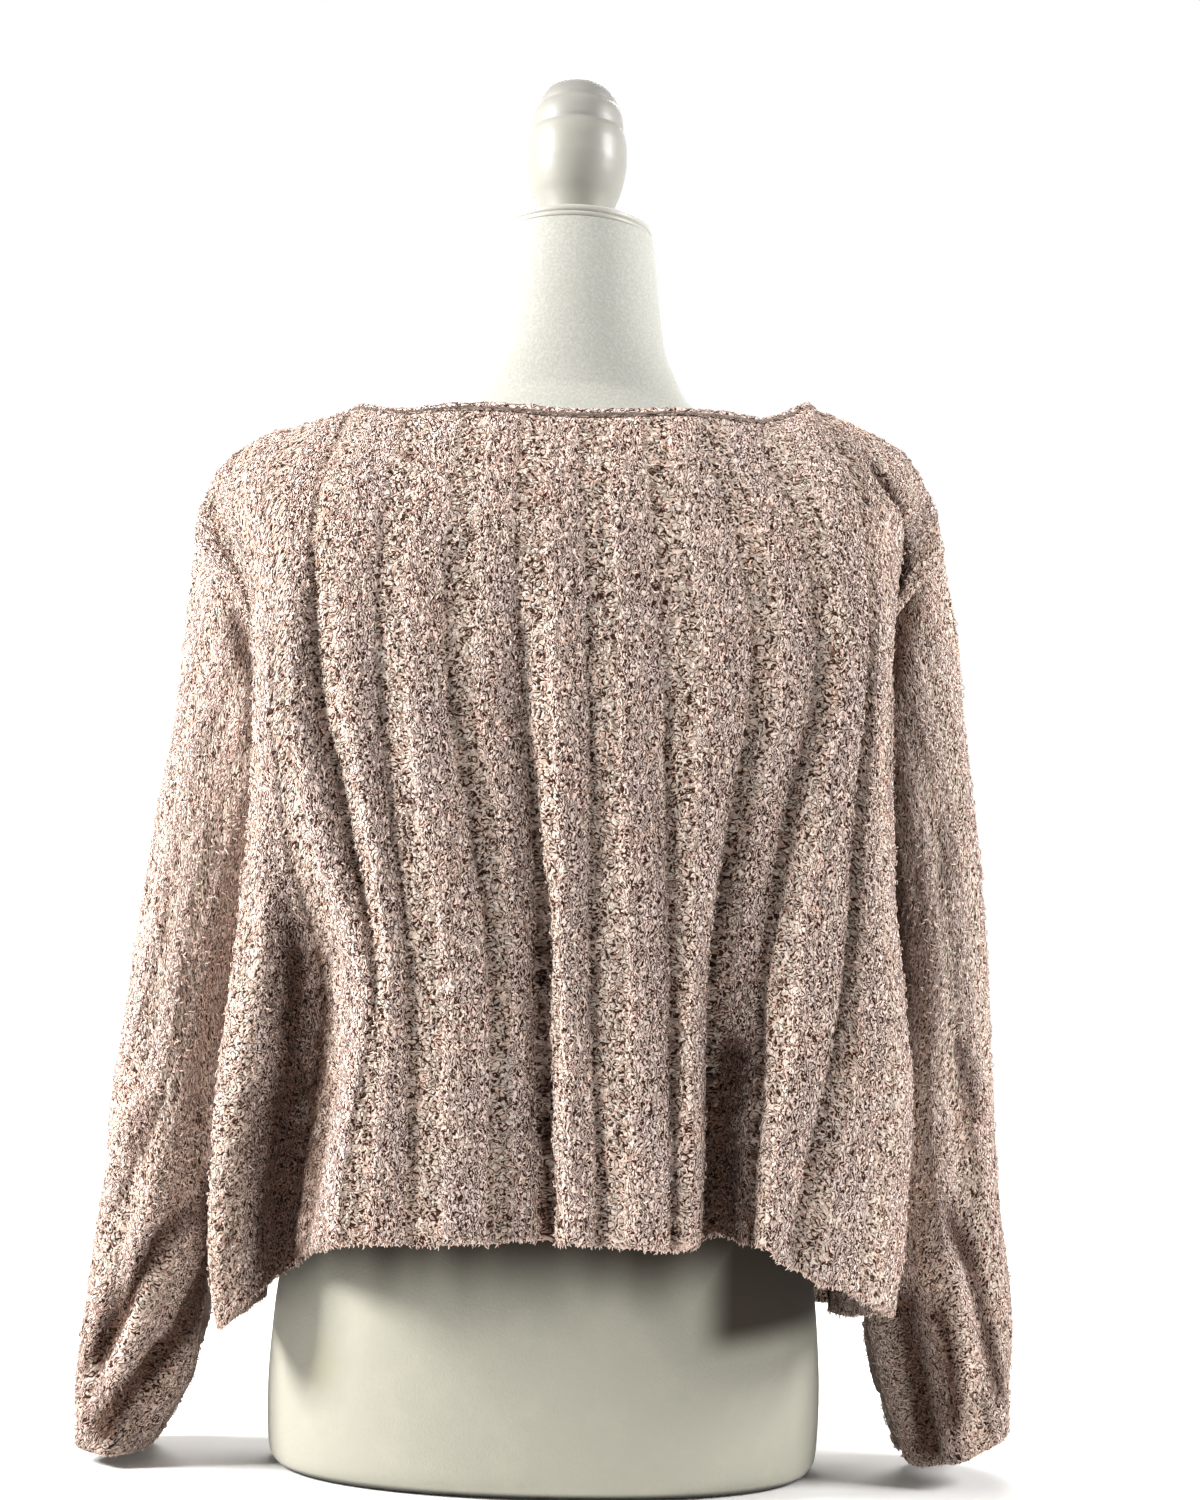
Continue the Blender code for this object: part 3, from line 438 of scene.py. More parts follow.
def neck_axis(height):
    """Middle of the neck at a height measured along its axis from NECK_FROM."""
    return np.array([0.0, math.sin(NECK_LEAN) * height, NECK_FROM + math.cos(NECK_LEAN) * height])


# ------------------------------------------------------------------ finer drape
# Narrow creases along the sunk lines of the rib, on top of the wide folds above.
# place across the knit, half width, then depth at z 0.15, 0.20 ... 0.50, 0.56
CREASE_Z = (0.15, 0.20, 0.25, 0.30, 0.35, 0.40, 0.45, 0.50, 0.56)
BACK_CREASES = (
    (-0.160, 0.0050, 0.000, 0.000, 0.000, 0.001, 0.003, 0.004, 0.004, 0.003, 0.001),
    (-0.120, 0.0040, 0.0005, 0.001, 0.001, 0.001, 0.001, 0.001, 0.001, 0.0005, 0.0),
    (-0.080, 0.0050, 0.000, 0.0005, 0.001, 0.002, 0.003, 0.003, 0.002, 0.001, 0.0),
    (-0.040, 0.0062, 0.009, 0.008, 0.008, 0.008, 0.007, 0.0045, 0.002, 0.001, 0.000),
    (0.000, 0.0040, 0.003, 0.003, 0.002, 0.002, 0.0015, 0.001, 0.0005, 0.0, 0.0),
    (0.040, 0.0045, 0.003, 0.003, 0.003, 0.0025, 0.0015, 0.001, 0.0005, 0.0, 0.0),
    (0.080, 0.0050, 0.002, 0.003, 0.005, 0.005, 0.004, 0.002, 0.001, 0.0, 0.0),
    (0.120, 0.0048, 0.002, 0.003, 0.005, 0.006, 0.005, 0.003, 0.001, 0.0, 0.0),
    (0.160, 0.0045, 0.000, 0.001, 0.002, 0.003, 0.003, 0.001, 0.000, 0.000, 0.0),
)
# Folds on the back that follow no sunk line: half width, depth (ridges under zero), painted shade
# (painted light under zero), then x and z of points along each
BACK_LINES = (
    (0.0125, 0.0035, 0.95, ((-0.1592, 0.3586), (-0.1508, 0.3126), (-0.1527, 0.2532), (-0.1597, 0.1875), (-0.1643, 0.1162))),
    (0.0070, -0.0035, -0.25, ((-0.1305, 0.3224), (-0.1211, 0.2815), (-0.1276, 0.2401), (-0.1374, 0.1988), (-0.1428, 0.1443))),
    (0.0070, -0.0020, -0.20, ((-0.1623, 0.3646), (-0.1733, 0.3108), (-0.1805, 0.2513), (-0.1860, 0.1920))),
    (0.0090, 0.0010, 0.60, ((-0.2020, 0.1390), (-0.2070, 0.0950))),
    (0.0170, 0.0040, 0.78, ((0.1075, 0.2920), (0.1055, 0.2450), (0.1045, 0.1980), (0.1045, 0.1340))),
    (0.0042, 0.0085, 1.00, ((0.1647, 0.6251), (0.1860, 0.6055), (0.2014, 0.5874), (0.2028, 0.5548), (0.1966, 0.5189), (0.1949, 0.4713), (0.1952, 0.3940))),
    (0.0140, 0.0000, 0.48, ((-0.1703, 0.2551), (-0.1761, 0.2078), (-0.1816, 0.1487), (-0.1878, 0.0956))),
)
# The same for the sleeves: half width, depth (ridges under zero), painted shade (painted light under zero), then x and
# z of points along each
SLEEVE_LINES = {
    "cloth_sleeve_left": (
        (0.0088, 0.0042, 0.58, ((-0.2035, 0.1645), (-0.2303, 0.1387), (-0.2531, 0.0974), (-0.2666, 0.0642))),
        (0.0088, 0.0040, 0.66, ((-0.2007, 0.1245), (-0.2197, 0.0786), (-0.2499, 0.0431), (-0.2601, 0.0244))),
        (0.0070, 0.0030, 0.50, ((-0.2327, 0.2276), (-0.2499, 0.1782))),
        (0.0110, 0.0020, 0.60, ((-0.2029, 0.1900), (-0.2038, 0.0844))),
        (0.0090, 0.0030, 0.60, ((-0.2048, 0.5297), (-0.1932, 0.4971), (-0.1815, 0.4615), (-0.1775, 0.4017))),
        (0.0060, -0.0030, -0.20, ((-0.2120, 0.1450), (-0.2380, 0.1050), (-0.2560, 0.0600))),
    ),
    "cloth_sleeve_right": (
        (0.0080, 0.0034, 0.54, ((0.2351, 0.1839), (0.2589, 0.1183), (0.2749, 0.0572))),
        (0.0080, 0.0032, 0.46, ((0.2332, 0.1218), (0.2414, 0.0831), (0.2466, 0.0427))),
        (0.0065, 0.0030, 0.50, ((0.2416, 0.2755), (0.2582, 0.2120))),
        (0.0130, 0.0020, 0.60, ((0.2147, 0.1300), (0.2218, 0.0778), (0.2322, 0.0244))),
        (0.0180, 0.0020, 0.80, ((0.2060, 0.6000), (0.2060, 0.5548), (0.2010, 0.5189), (0.1990, 0.4713), (0.1990, 0.3940), (0.2030, 0.3168), (0.2120, 0.2200))),
        (0.0060, -0.0025, -0.20, ((0.2400, 0.1450), (0.2530, 0.1050), (0.2620, 0.0600))),
    ),
}
FRONT_CREASES = (
    (-0.160, 0.0070, 0.003, 0.003, 0.003, 0.004, 0.005, 0.005, 0.004, 0.002, 0.0),
    (-0.120, 0.0060, 0.003, 0.004, 0.004, 0.004, 0.003, 0.003, 0.002, 0.001, 0.0),
    (-0.080, 0.0065, 0.005, 0.005, 0.005, 0.004, 0.003, 0.002, 0.001, 0.0, 0.0),
    (-0.040, 0.0060, 0.003, 0.003, 0.003, 0.003, 0.003, 0.002, 0.001, 0.0, 0.0),
    (0.000, 0.0055, 0.004, 0.004, 0.005, 0.004, 0.003, 0.002, 0.001, 0.0, 0.0),
    (0.040, 0.0065, 0.004, 0.005, 0.005, 0.005, 0.004, 0.003, 0.001, 0.0, 0.0),
    (0.080, 0.0065, 0.005, 0.005, 0.005, 0.004, 0.003, 0.002, 0.001, 0.0, 0.0),
    (0.120, 0.0060, 0.003, 0.003, 0.004, 0.004, 0.004, 0.003, 0.002, 0.001, 0.0),
    (0.160, 0.0070, 0.003, 0.003, 0.004, 0.004, 0.005, 0.005, 0.004, 0.002, 0.0),
)
# Folds that run slantwise on a sleeve: side of the tube (-1 back, 1 front), share of the
# sleeve where it starts and ends, place from the outer line there (0 outer, 1 inner),
# half width in metres, depth
SLEEVE_CREASES = (
    (1, 0.52, 0.90, 0.92, 0.20, 0.0090, 0.0060),
    (1, 0.68, 0.97, 1.00, 0.36, 0.0100, 0.0060),
    (1, 0.30, 0.70, 0.55, 0.12, 0.0080, 0.0040),
)
RELIEF = 0.0010  # half the height between the raised and the sunk band of the rib
SUNK_SHARE = 0.40  # of a rib that is sunk
PANEL_STEP = 3  # the inside wall has one point to this many outside
RIM_ROLL = 0.004


# ------------------------------------------------------------------ smooth noise, seeded
def noise2(u, v, size_u, size_v, seed):
    """Smooth value noise from -1 to 1 over a plane, cells of size_u x size_v."""
    table = np.random.default_rng(seed).uniform(-1, 1, (257, 257))
    x, y = np.asarray(u, float) / size_u + 71.3, np.asarray(v, float) / size_v + 53.7
    i, j = np.floor(x).astype(int), np.floor(y).astype(int)
    fx, fy = x - i, y - j
    fx, fy = fx * fx * (3 - 2 * fx), fy * fy * (3 - 2 * fy)
    i0, i1, j0, j1 = i % 257, (i + 1) % 257, j % 257, (j + 1) % 257
    return (
        (table[i0, j0] * (1 - fx) + table[i1, j0] * fx) * (1 - fy)
        + (table[i0, j1] * (1 - fx) + table[i1, j1] * fx) * fy
    )


def smooth(low, high, at):
    s = np.clip((np.asarray(at, float) - low) / (high - low), 0, 1)
    return s * s * (3 - 2 * s)


def rib_band(place):
    """1 on a raised band of the rib, 0 on a sunk one; and the groove at its edge."""
    p = (place / RIB) % 1.0
    raised = smooth(SUNK_SHARE - 0.05, SUNK_SHARE + 0.09, p) * (1 - smooth(0.94, 1.0, p))
    edge = np.minimum(p, 1 - p)
    groove = np.exp(-((edge / 0.045) ** 2))
    crown = np.sin(np.clip((p - SUNK_SHARE) / (1 - SUNK_SHARE), 0, 1) * math.pi)
    return raised, groove, crown


def rib_relief(u, v, seed, strength):
    """(height off the middle surface, raised share) of the rib at knit coordinates u, v."""
    wander = 0.0016 * noise2(u, v, 0.020, 0.045, seed) + 0.0008 * noise2(u, v, 0.008, 0.014, seed + 1)
    raised, groove, crown = rib_band(u + wander)
    uneven = 1 + 0.30 * noise2(u, v, 0.030, 0.060, seed + 2)
    height = RELIEF * uneven * strength * (2 * raised - 1 + 0.35 * crown * raised) - 0.0006 * groove * strength
    lumps = 0.0004 * noise2(u, v, 0.014, 0.022, seed + 3) + 0.0003 * noise2(u, v, 0.007, 0.009, seed + 4)
    return height + lumps, raised


# ------------------------------------------------------------------ meshes from arrays
def grid_normals(points, wrap=False):
    """Unit normals of a grid [row, column], from its own steps both ways."""
    if wrap:
        across = np.roll(points, -1, axis=1) - np.roll(points, 1, axis=1)
    else:
        across = np.gradient(points, axis=1)
    down = np.gradient(points, axis=0)
    normal = np.cross(across, down)
    return normal / np.maximum(np.linalg.norm(normal, axis=2), 1e-12)[..., None]


def quads(rows, cols, wrap=False, start=0):
    """Quads of a grid as an array, four indices a face."""
    i, j = np.meshgrid(np.arange(rows - 1), np.arange(cols if wrap else cols - 1), indexing="ij")
    k = (j + 1) % cols
    faces = np.stack([i * cols + j, i * cols + k, (i + 1) * cols + k, (i + 1) * cols + j], axis=-1)
    return faces.reshape(-1, 4) + start


def make_mesh(name, points, quad_faces, tri_faces=None, numbers=None, vectors=None, finish=None):
    """A mesh object from arrays, with named numbers and vectors on its points."""
    points = np.ascontiguousarray(points.reshape(-1, 3), np.float32)
    counts = [np.full(len(quad_faces), 4)]
    loops = [np.asarray(quad_faces).reshape(-1)]
    if tri_faces is not None and len(tri_faces):
        counts.append(np.full(len(tri_faces), 3))
        loops.append(np.asarray(tri_faces).reshape(-1))
    counts, loops = np.concatenate(counts), np.concatenate(loops).astype(np.int32)
    mesh = bpy.data.meshes.new(name)
    mesh.vertices.add(len(points))
    mesh.vertices.foreach_set("co", points.ravel())
    mesh.loops.add(len(loops))
    mesh.loops.foreach_set("vertex_index", loops)
    mesh.polygons.add(len(counts))
    starts = np.concatenate([[0], np.cumsum(counts)[:-1]]).astype(np.int32)
    mesh.polygons.foreach_set("loop_start", starts)
    mesh.update(calc_edges=True)
    for key, values in (numbers or {}).items():
        mesh.attributes.new(key, "FLOAT", "POINT").data.foreach_set(
            "value", np.ascontiguousarray(values, np.float32).ravel())
    for key, values in (vectors or {}).items():
        mesh.attributes.new(key, "FLOAT_VECTOR", "POINT").data.foreach_set(
            "vector", np.ascontiguousarray(values, np.float32).ravel())
    mesh.validate()
    mesh.shade_smooth()
    if finish:
        mesh.materials.append(finish)
    obj = bpy.data.objects.new(name, mesh)
    bpy.context.scene.collection.objects.link(obj)
    return obj


def area_of(points, wrap=False):
    """Area of a grid surface in square metres."""
    nxt = np.roll(points, -1, axis=1) if wrap else points[:, 1:]
    here = points if wrap else points[:, :-1]
    a, b, c, d = here[:-1], nxt[:-1], nxt[1:], here[1:]
    return float(
        np.linalg.norm(np.cross(b - a, c - a), axis=-1).sum() / 2
        + np.linalg.norm(np.cross(c - a, d - a), axis=-1).sum() / 2
    )


# ------------------------------------------------------------------ node helpers
class Nodes:
    """Writes the same texture network into a material or into a geometry tree."""

    def __init__(self, tree):
        self.tree = tree

    def new(self, kind, inputs=(), **settings):
        node = self.tree.nodes.new(kind)
        for key, value in settings.items():
            setattr(node, key, value)
        for key, value in dict(inputs).items():
            self.put(node.inputs[key], value)
        return node

    def put(self, socket, value):
        if isinstance(value, bpy.types.NodeSocket):
            self.tree.links.new(value, socket)
        elif value is not None:
            socket.default_value = value

    def math(self, operation, a, b=None, c=None, clamp=False):
        node = self.new("ShaderNodeMath", operation=operation, use_clamp=clamp)
        for socket, value in zip(node.inputs, (a, b, c)):
            self.put(socket, value)
        return node.outputs[0]

    def vector(self, operation, a, b=None, scale=None):
        node = self.new("ShaderNodeVectorMath", operation=operation)
        self.put(node.inputs[0], a)
        if b is not None:
            self.put(node.inputs[1], b)
        if scale is not None:
            self.put(node.inputs["Scale"], scale)
        return node.outputs[0]

    def noise(self, at, scale, detail=1.0, roughness=0.5, distortion=0.0, colour=False):
        node = self.new("ShaderNodeTexNoise", {"Vector": at, "Scale": scale, "Detail": detail,
                                               "Roughness": roughness, "Distortion": distortion})
        return node.outputs["Color" if colour else "Fac" if "Fac" in node.outputs else 0]

    def voronoi(self, at, scale, feature="F1", randomness=1.0):
        node = self.new("ShaderNodeTexVoronoi", {"Vector": at, "Scale": scale, "Randomness": randomness},
                        feature=feature)
        return node.outputs["Distance"]

    def range(self, value, low, high, to_low=0.0, to_high=1.0, kind="SMOOTHSTEP"):
        node = self.new("ShaderNodeMapRange", interpolation_type=kind)
        for key, number in (("Value", value), ("From Min", low), ("From Max", high),
                            ("To Min", to_low), ("To Max", to_high)):
            self.put(node.inputs[key], number)
        return node.outputs[0]

    def mix(self, factor, a, b):
        node = self.new("ShaderNodeMix", data_type="FLOAT")
        for number, value in ((0, factor), (2, a), (3, b)):
            self.put(node.inputs[number], value)
        return node.outputs[0]

    def mix_colour(self, factor, a, b, blend="MIX"):
        node = self.new("ShaderNodeMix", data_type="RGBA", blend_type=blend)
        for number, value in ((0, factor), (6, a), (7, b)):
            self.put(node.inputs[number], (*value, 1.0) if isinstance(value, tuple) and len(value) == 3 else value)
        return node.outputs[2]

    def ramp(self, factor, stops):
        node = self.new("ShaderNodeValToRGB", {"Fac": factor})
        band = node.color_ramp
        while len(band.elements) < len(stops):
            band.elements.new(0.5)
        for element, (place, colour) in zip(band.elements, stops):
            element.position, element.color = place, (*colour, 1.0)
        return node.outputs["Color"]

    def combine(self, x, y, z):
        node = self.new("ShaderNodeCombineXYZ")
        for socket, value in zip(node.inputs, (x, y, z)):
            self.put(socket, value)
        return node.outputs[0]


def curls(n, fabric, rib):
    """Height of the boucle curls, 0 in the gaps and 1 on top, which move the points of the mesh."""
    drift = n.vector("SUBTRACT", n.noise(fabric, 210.0, 1.0, colour=True), (0.5, 0.5, 0.5))
    at = n.vector("ADD", fabric, n.vector("SCALE", drift, scale=0.0052))
    long_at = n.vector("MULTIPLY", at, (1.30, 0.58, 1.0))
    # short worms of yarn: ridges of a noise
    worm = n.math("ABSOLUTE", n.math("SUBTRACT", n.noise(at, 270.0, 0.0), 0.5))
    worm = n.range(worm, 0.0, 0.13, 1.0, 0.0)
    lying = n.math("ABSOLUTE", n.math("SUBTRACT", n.noise(long_at, 290.0, 0.0), 0.5))
    lying = n.range(lying, 0.0, 0.14, 1.0, 0.0)
    nub = n.range(n.voronoi(at, 235.0), 0.10, 0.62, 1.0, 0.0)
    stitch = n.range(n.voronoi(long_at, 250.0), 0.12, 0.66, 1.0, 0.0)
    purl = n.math("ADD", n.math("MULTIPLY", worm, 0.45), n.math("MULTIPLY", nub, 0.62))
    knit = n.math("ADD", n.math("MULTIPLY", lying, 0.50), n.math("MULTIPLY", stitch, 0.50))
    return n.mix(rib, purl, knit)


def fine_curls(n, fabric, rib):
    """The finer half of the curls, which only the material holds: light strands of yarn with
    thin dark gaps, curled up on a sunk band and drawn out along the wales on a raised one."""
    drift = n.vector("SUBTRACT", n.noise(fabric, 370.0, 1.0, colour=True), (0.5, 0.5, 0.5))
    at = n.vector("ADD", fabric, n.vector("SCALE", drift, scale=0.0030))
    long_at = n.vector("MULTIPLY", at, (1.15, 0.55, 1.0))
    u = n.new("ShaderNodeSeparateXYZ", {0: at}).outputs[0]
    # wavy strands side by side
    sway = n.math("MULTIPLY", n.noise(long_at, 285.0, 1.0), 5.2)
    strand = n.math("PINGPONG", n.math("ADD", n.math("MULTIPLY", u, 1 / 0.0020), sway), 0.5)
    strand = n.range(strand, 0.0, 0.40)
    cut = n.range(n.math("PINGPONG", n.math("MULTIPLY", n.noise(long_at, 350.0, 0.0), 3.6), 0.5), 0.0, 0.26)
    knit = n.math("MULTIPLY", n.math("ADD", 0.10, n.math("MULTIPLY", strand, 0.90)),
                  n.math("ADD", 0.36, n.math("MULTIPLY", cut, 0.64)))
    # curls and nubs
    ring = n.range(n.math("PINGPONG", n.math("MULTIPLY", n.noise(at, 250.0, 0.5), 4.8), 0.5), 0.0, 0.30)
    nub = n.range(n.voronoi(at, 370.0), 0.10, 0.62, 1.0, 0.0)
    purl = n.math("MULTIPLY", n.math("ADD", 0.22, n.math("MULTIPLY", ring, 0.84)),
                  n.math("ADD", 0.42, n.math("MULTIPLY", nub, 0.74)))
    return n.mix(rib, purl, knit)


def push_curls(obj, height):
    """Moves the points of obj out by the curls, and writes the result into its mesh."""
    tree = bpy.data.node_groups.new("curl_push", "GeometryNodeTree")
    tree.interface.new_socket("Geometry", in_out="INPUT", socket_type="NodeSocketGeometry")
    tree.interface.new_socket("Geometry", in_out="OUTPUT", socket_type="NodeSocketGeometry")
    n = Nodes(tree)
    start, end = n.new("NodeGroupInput"), n.new("NodeGroupOutput")
    fabric = n.new("GeometryNodeInputNamedAttribute", {"Name": "fabric"}, data_type="FLOAT_VECTOR").outputs[0]
    rib = n.new("GeometryNodeInputNamedAttribute", {"Name": "rib"}, data_type="FLOAT").outputs[0]
    puff = n.new("GeometryNodeInputNamedAttribute", {"Name": "puff"}, data_type="FLOAT").outputs[0]
    level = curls(n, fabric, rib)
    off = n.math("MULTIPLY", n.math("SUBTRACT", level, 0.45), n.math("MULTIPLY", puff, height))
    offset = n.vector("SCALE", n.new("GeometryNodeInputNormal").outputs[0], scale=off)
    moved = n.new("GeometryNodeSetPosition", {"Geometry": start.outputs[0], "Offset": offset})
    tree.links.new(moved.outputs[0], end.inputs[0])
    modifier = obj.modifiers.new("curls", "NODES")
    modifier.node_group = tree
    graph = bpy.context.evaluated_depsgraph_get()
    made = bpy.data.meshes.new_from_object(obj.evaluated_get(graph))
    obj.modifiers.remove(modifier)
    old, obj.data = obj.data, made
    bpy.data.meshes.remove(old)
    made.name = obj.name
    bpy.data.node_groups.remove(tree)


# ------------------------------------------------------------------ materials
def principled(name, roughness, sheen=0.0, sheen_roughness=0.5, sheen_tint=(1, 1, 1), coat=0.0,
               coat_roughness=0.1, specular=0.5):
    made = bpy.data.materials.new(name)
    made.use_nodes = True
    shader = made.node_tree.nodes["Principled BSDF"]
    shader.inputs["Roughness"].default_value = roughness
    shader.inputs["Sheen Weight"].default_value = sheen
    shader.inputs["Sheen Roughness"].default_value = sheen_roughness
    shader.inputs["Sheen Tint"].default_value = (*sheen_tint, 1.0)
    shader.inputs["Coat Weight"].default_value = coat
    shader.inputs["Coat Roughness"].default_value = coat_roughness
    shader.inputs["Specular IOR Level"].default_value = specular
    return made, Nodes(made.node_tree), shader


def attribute(n, name, output="Fac"):
    return n.new("ShaderNodeAttribute", attribute_name=name).outputs[output]


# Tones of the yarn from the gaps between its curls to their tops. The darkest are partly the yarn's own dark taupe and
# partly painted shade in the gaps.
GAP_TONE = (0.046, 0.020, 0.013)
LOW_TONE = (0.245, 0.145, 0.110)
MID_TONE = (0.555, 0.396, 0.328)
HIGH_TONE = (0.875, 0.680, 0.582)
TOP_TONE = (0.985, 0.850, 0.752)


def yarn_tint(n, fabric, rib):
    """Slow changes of the marl: pink, beige and lavender grey, streaked along the courses."""
    wide = n.noise(n.vector("MULTIPLY", fabric, (1.0, 0.7, 1.0)), 34.0, 2.0, 0.6)
    fine = n.noise(n.vector("MULTIPLY", fabric, (1.0, 0.35, 1.0)), 190.0, 1.0)
    pick = n.math("ADD", n.math("MULTIPLY", wide, 0.62), n.math("MULTIPLY", fine, 0.38))
    return n.ramp(pick, (
        (0.30, (0.93, 0.95, 1.00)),
        (0.44, (0.98, 0.97, 0.98)),
        (0.53, (1.00, 1.00, 1.00)),
        (0.62, (1.05, 0.98, 0.97)),
        (0.74, (1.00, 1.01, 0.96)),
    ))


def knit_material(name="boucle_knit_cloth"):
    made, n, shader = principled(name, 0.92, sheen=0.11, sheen_roughness=0.45,
                                 sheen_tint=(1.0, 0.88, 0.82), specular=0.12)
    fabric = attribute(n, "fabric", "Vector")
    rib = attribute(n, "rib")
    shade = attribute(n, "shade")
    grain = fine_curls(n, fabric, rib)
    clump = n.noise(n.vector("MULTIPLY", fabric, (1.0, 0.8, 1.0)), 175.0, 1.0)
    tone = n.math("ADD", grain, n.math("MULTIPLY", n.math("SUBTRACT", clump, 0.5), 0.48))
    colour = n.ramp(tone, (
        (0.225, GAP_TONE),
        (0.315, LOW_TONE),
        (0.410, MID_TONE),
        (0.505, HIGH_TONE),
        (0.615, TOP_TONE),
    ))
    colour = n.mix_colour(1.0, colour, yarn_tint(n, fabric, rib), "MULTIPLY")
    colour = n.mix_colour(1.0, colour, n.mix_colour(rib, (0.985, 1.0, 0.985), (1.03, 0.975, 0.985)), "MULTIPLY")
    # painted shade: the colour darkens in creases, grooves, sunk rib stripes, wide folds, at seams, on the inside wall
    # and low on the sleeves
    dark = n.mix_colour(shade, (1.0, 1.0, 1.0), (0.150, 0.105, 0.085))
    colour = n.mix_colour(1.0, colour, dark, "MULTIPLY")
    n.put(shader.inputs["Base Color"], colour)
    n.put(shader.inputs["Roughness"], n.range(grain, 0.0, 1.0, 1.0, 0.80, "LINEAR"))
    bump = n.new("ShaderNodeBump", {"Height": grain, "Strength": 1.0, "Distance": 0.0016})
    n.put(shader.inputs["Normal"], bump.outputs[0])
    return made


def loop_material():
    made, n, shader = principled("boucle_yarn_loops", 0.90, sheen=0.11, sheen_roughness=0.45,
                                 sheen_tint=(1.0, 0.88, 0.82), specular=0.12)
    fabric = attribute(n, "fabric", "Vector")
    lift = attribute(n, "lift")
    twist = n.noise(n.new("ShaderNodeTexCoord").outputs["Object"], 1500.0, 1.0)
    # painted shade: the loops go darker toward their feet on the cloth and lighter at their tops
    tone = n.math("ADD", lift, n.math("MULTIPLY", n.math("SUBTRACT", twist, 0.5), 0.5))
    colour = n.ramp(tone, (
        (0.05, LOW_TONE),
        (0.35, MID_TONE),
        (0.65, HIGH_TONE),
        (0.95, TOP_TONE),
    ))
    colour = n.mix_colour(1.0, colour, yarn_tint(n, fabric, lift), "MULTIPLY")
    # painted shade, the same as on the cloth under each loop
    dark = n.mix_colour(attribute(n, "shade"), (1.0, 1.0, 1.0), (0.190, 0.140, 0.118))
    colour = n.mix_colour(1.0, colour, dark, "MULTIPLY")
    n.put(shader.inputs["Base Color"], colour)
    bump = n.new("ShaderNodeBump", {"Height": twist, "Strength": 0.5, "Distance": 0.0003})
    n.put(shader.inputs["Normal"], bump.outputs[0])
    return made


# ------------------------------------------------------------------ cloth walls
def rim(outer, inner, backwards):
    """Triangles that close a wall between a fine border and a coarse one."""
    tris = []
    for k in range(len(inner) - 1):
        f, c, d = outer[PANEL_STEP * k : PANEL_STEP * k + PANEL_STEP + 1], inner[k], inner[k + 1]
        tris += [(f[0], f[1], c), (f[1], d, c), (f[1], f[2], d), (f[2], f[3], d)]
    tris = np.array(tris)
    return tris[:, ::-1] if backwards else tris


def cloth(name, middle, normals, off, fields, fabric, flip, wrap, finish, height):
    """A closed wall of cloth: a fine outside with relief and curls, a plain inside."""
    rows, cols = middle.shape[:2]
    outside = middle + normals * off[..., None]
    step = PANEL_STEP
    own_cols = slice(0, cols, step)
    inside = (middle - normals * CLOTH / 2)[::step, own_cols]
    in_rows, in_cols = inside.shape[:2]
    first = rows * cols
    outer_id = np.arange(rows * cols).reshape(rows, cols)
    inner_id = np.arange(in_rows * in_cols).reshape(in_rows, in_cols) + first
    if wrap:
        outer_id = np.concatenate([outer_id, outer_id[:, :1]], axis=1)
        inner_id = np.concatenate([inner_id, inner_id[:, :1]], axis=1)
    faces_out = quads(rows, cols, wrap)
    faces_in = quads(in_rows, in_cols, wrap, first)[:, ::-1]
    tris = [rim(outer_id[0], inner_id[0], True), rim(outer_id[-1], inner_id[-1], False)]
    if not wrap:
        tris += [rim(outer_id[:, 0], inner_id[:, 0], False), rim(outer_id[:, -1], inner_id[:, -1], True)]
    tris = np.concatenate(tris)
    four = np.concatenate([faces_out, faces_in])
    if flip:
        four, tris = four[:, ::-1], tris[:, ::-1]
    numbers = {}
    for key, values in fields.items():
        within = values[::step, own_cols].copy()
        if key == "puff":
            within[:] = 0.0
        # the inside wall gets painted shade, never less than 0.45
        if key == "shade":
            within[:] = np.maximum(within, 0.45)
        numbers[key] = np.concatenate([values.ravel(), within.ravel()])
    coordinates = np.concatenate([fabric.reshape(-1, 3), fabric[::step, own_cols].reshape(-1, 3)])
    points = np.concatenate([outside.reshape(-1, 3), inside.reshape(-1, 3)])
    obj = make_mesh(name, points, four, tris, numbers, {"fabric": coordinates}, finish)
    push_curls(obj, height)
    return obj, outside


def blend_border(normals, rows_from, other, reach, axis, end):
    """Turns the normals near one border of a grid into `other` at the border itself."""
    size = normals.shape[axis]
    for k in range(reach):
        w = (1 - k / reach) ** 2 * (3 - 2 * (1 - k / reach))
        place = k if end == 0 else size - 1 - k
        if axis == 0:
            line = normals[place, rows_from]
            line = line * (1 - w) + other * w
            normals[place, rows_from] = line / np.linalg.norm(line, axis=1)[:, None]
        else:
            line = normals[rows_from, place]
            line = line * (1 - w) + other * w
            normals[rows_from, place] = line / np.linalg.norm(line, axis=1)[:, None]


def resample(values, at_old, at_new):
    return np.stack([np.interp(at_new, at_old, values[:, k]) for k in range(values.shape[1])], axis=1)


def crease_depth(table, a, z, v, seed):
    """Depth of the narrow creases, and how strongly each one shows, over a panel."""
    deep = np.zeros_like(z)
    for number, (place, width, *depths) in enumerate(table):
        wander = 0.0024 * noise2(v, 0 * v + number * 3.1, 0.050, 1.0, seed + number)
        width_here = width * (1 + 0.35 * noise2(v, 0 * v + number * 1.7, 0.060, 1.0, seed + 40 + number))
        wander = wander + 0.0011 * noise2(a, v, 0.0065, 0.0075, seed + 120 + number)
        uneven = 1 + 0.35 * noise2(v, 0 * v + number * 2.3, 0.035, 1.0, seed + 80 + number)
        deep += curve(CREASE_Z, depths, z) * uneven * bump(a - place - wander - 0.0016, width_here)
    return deep


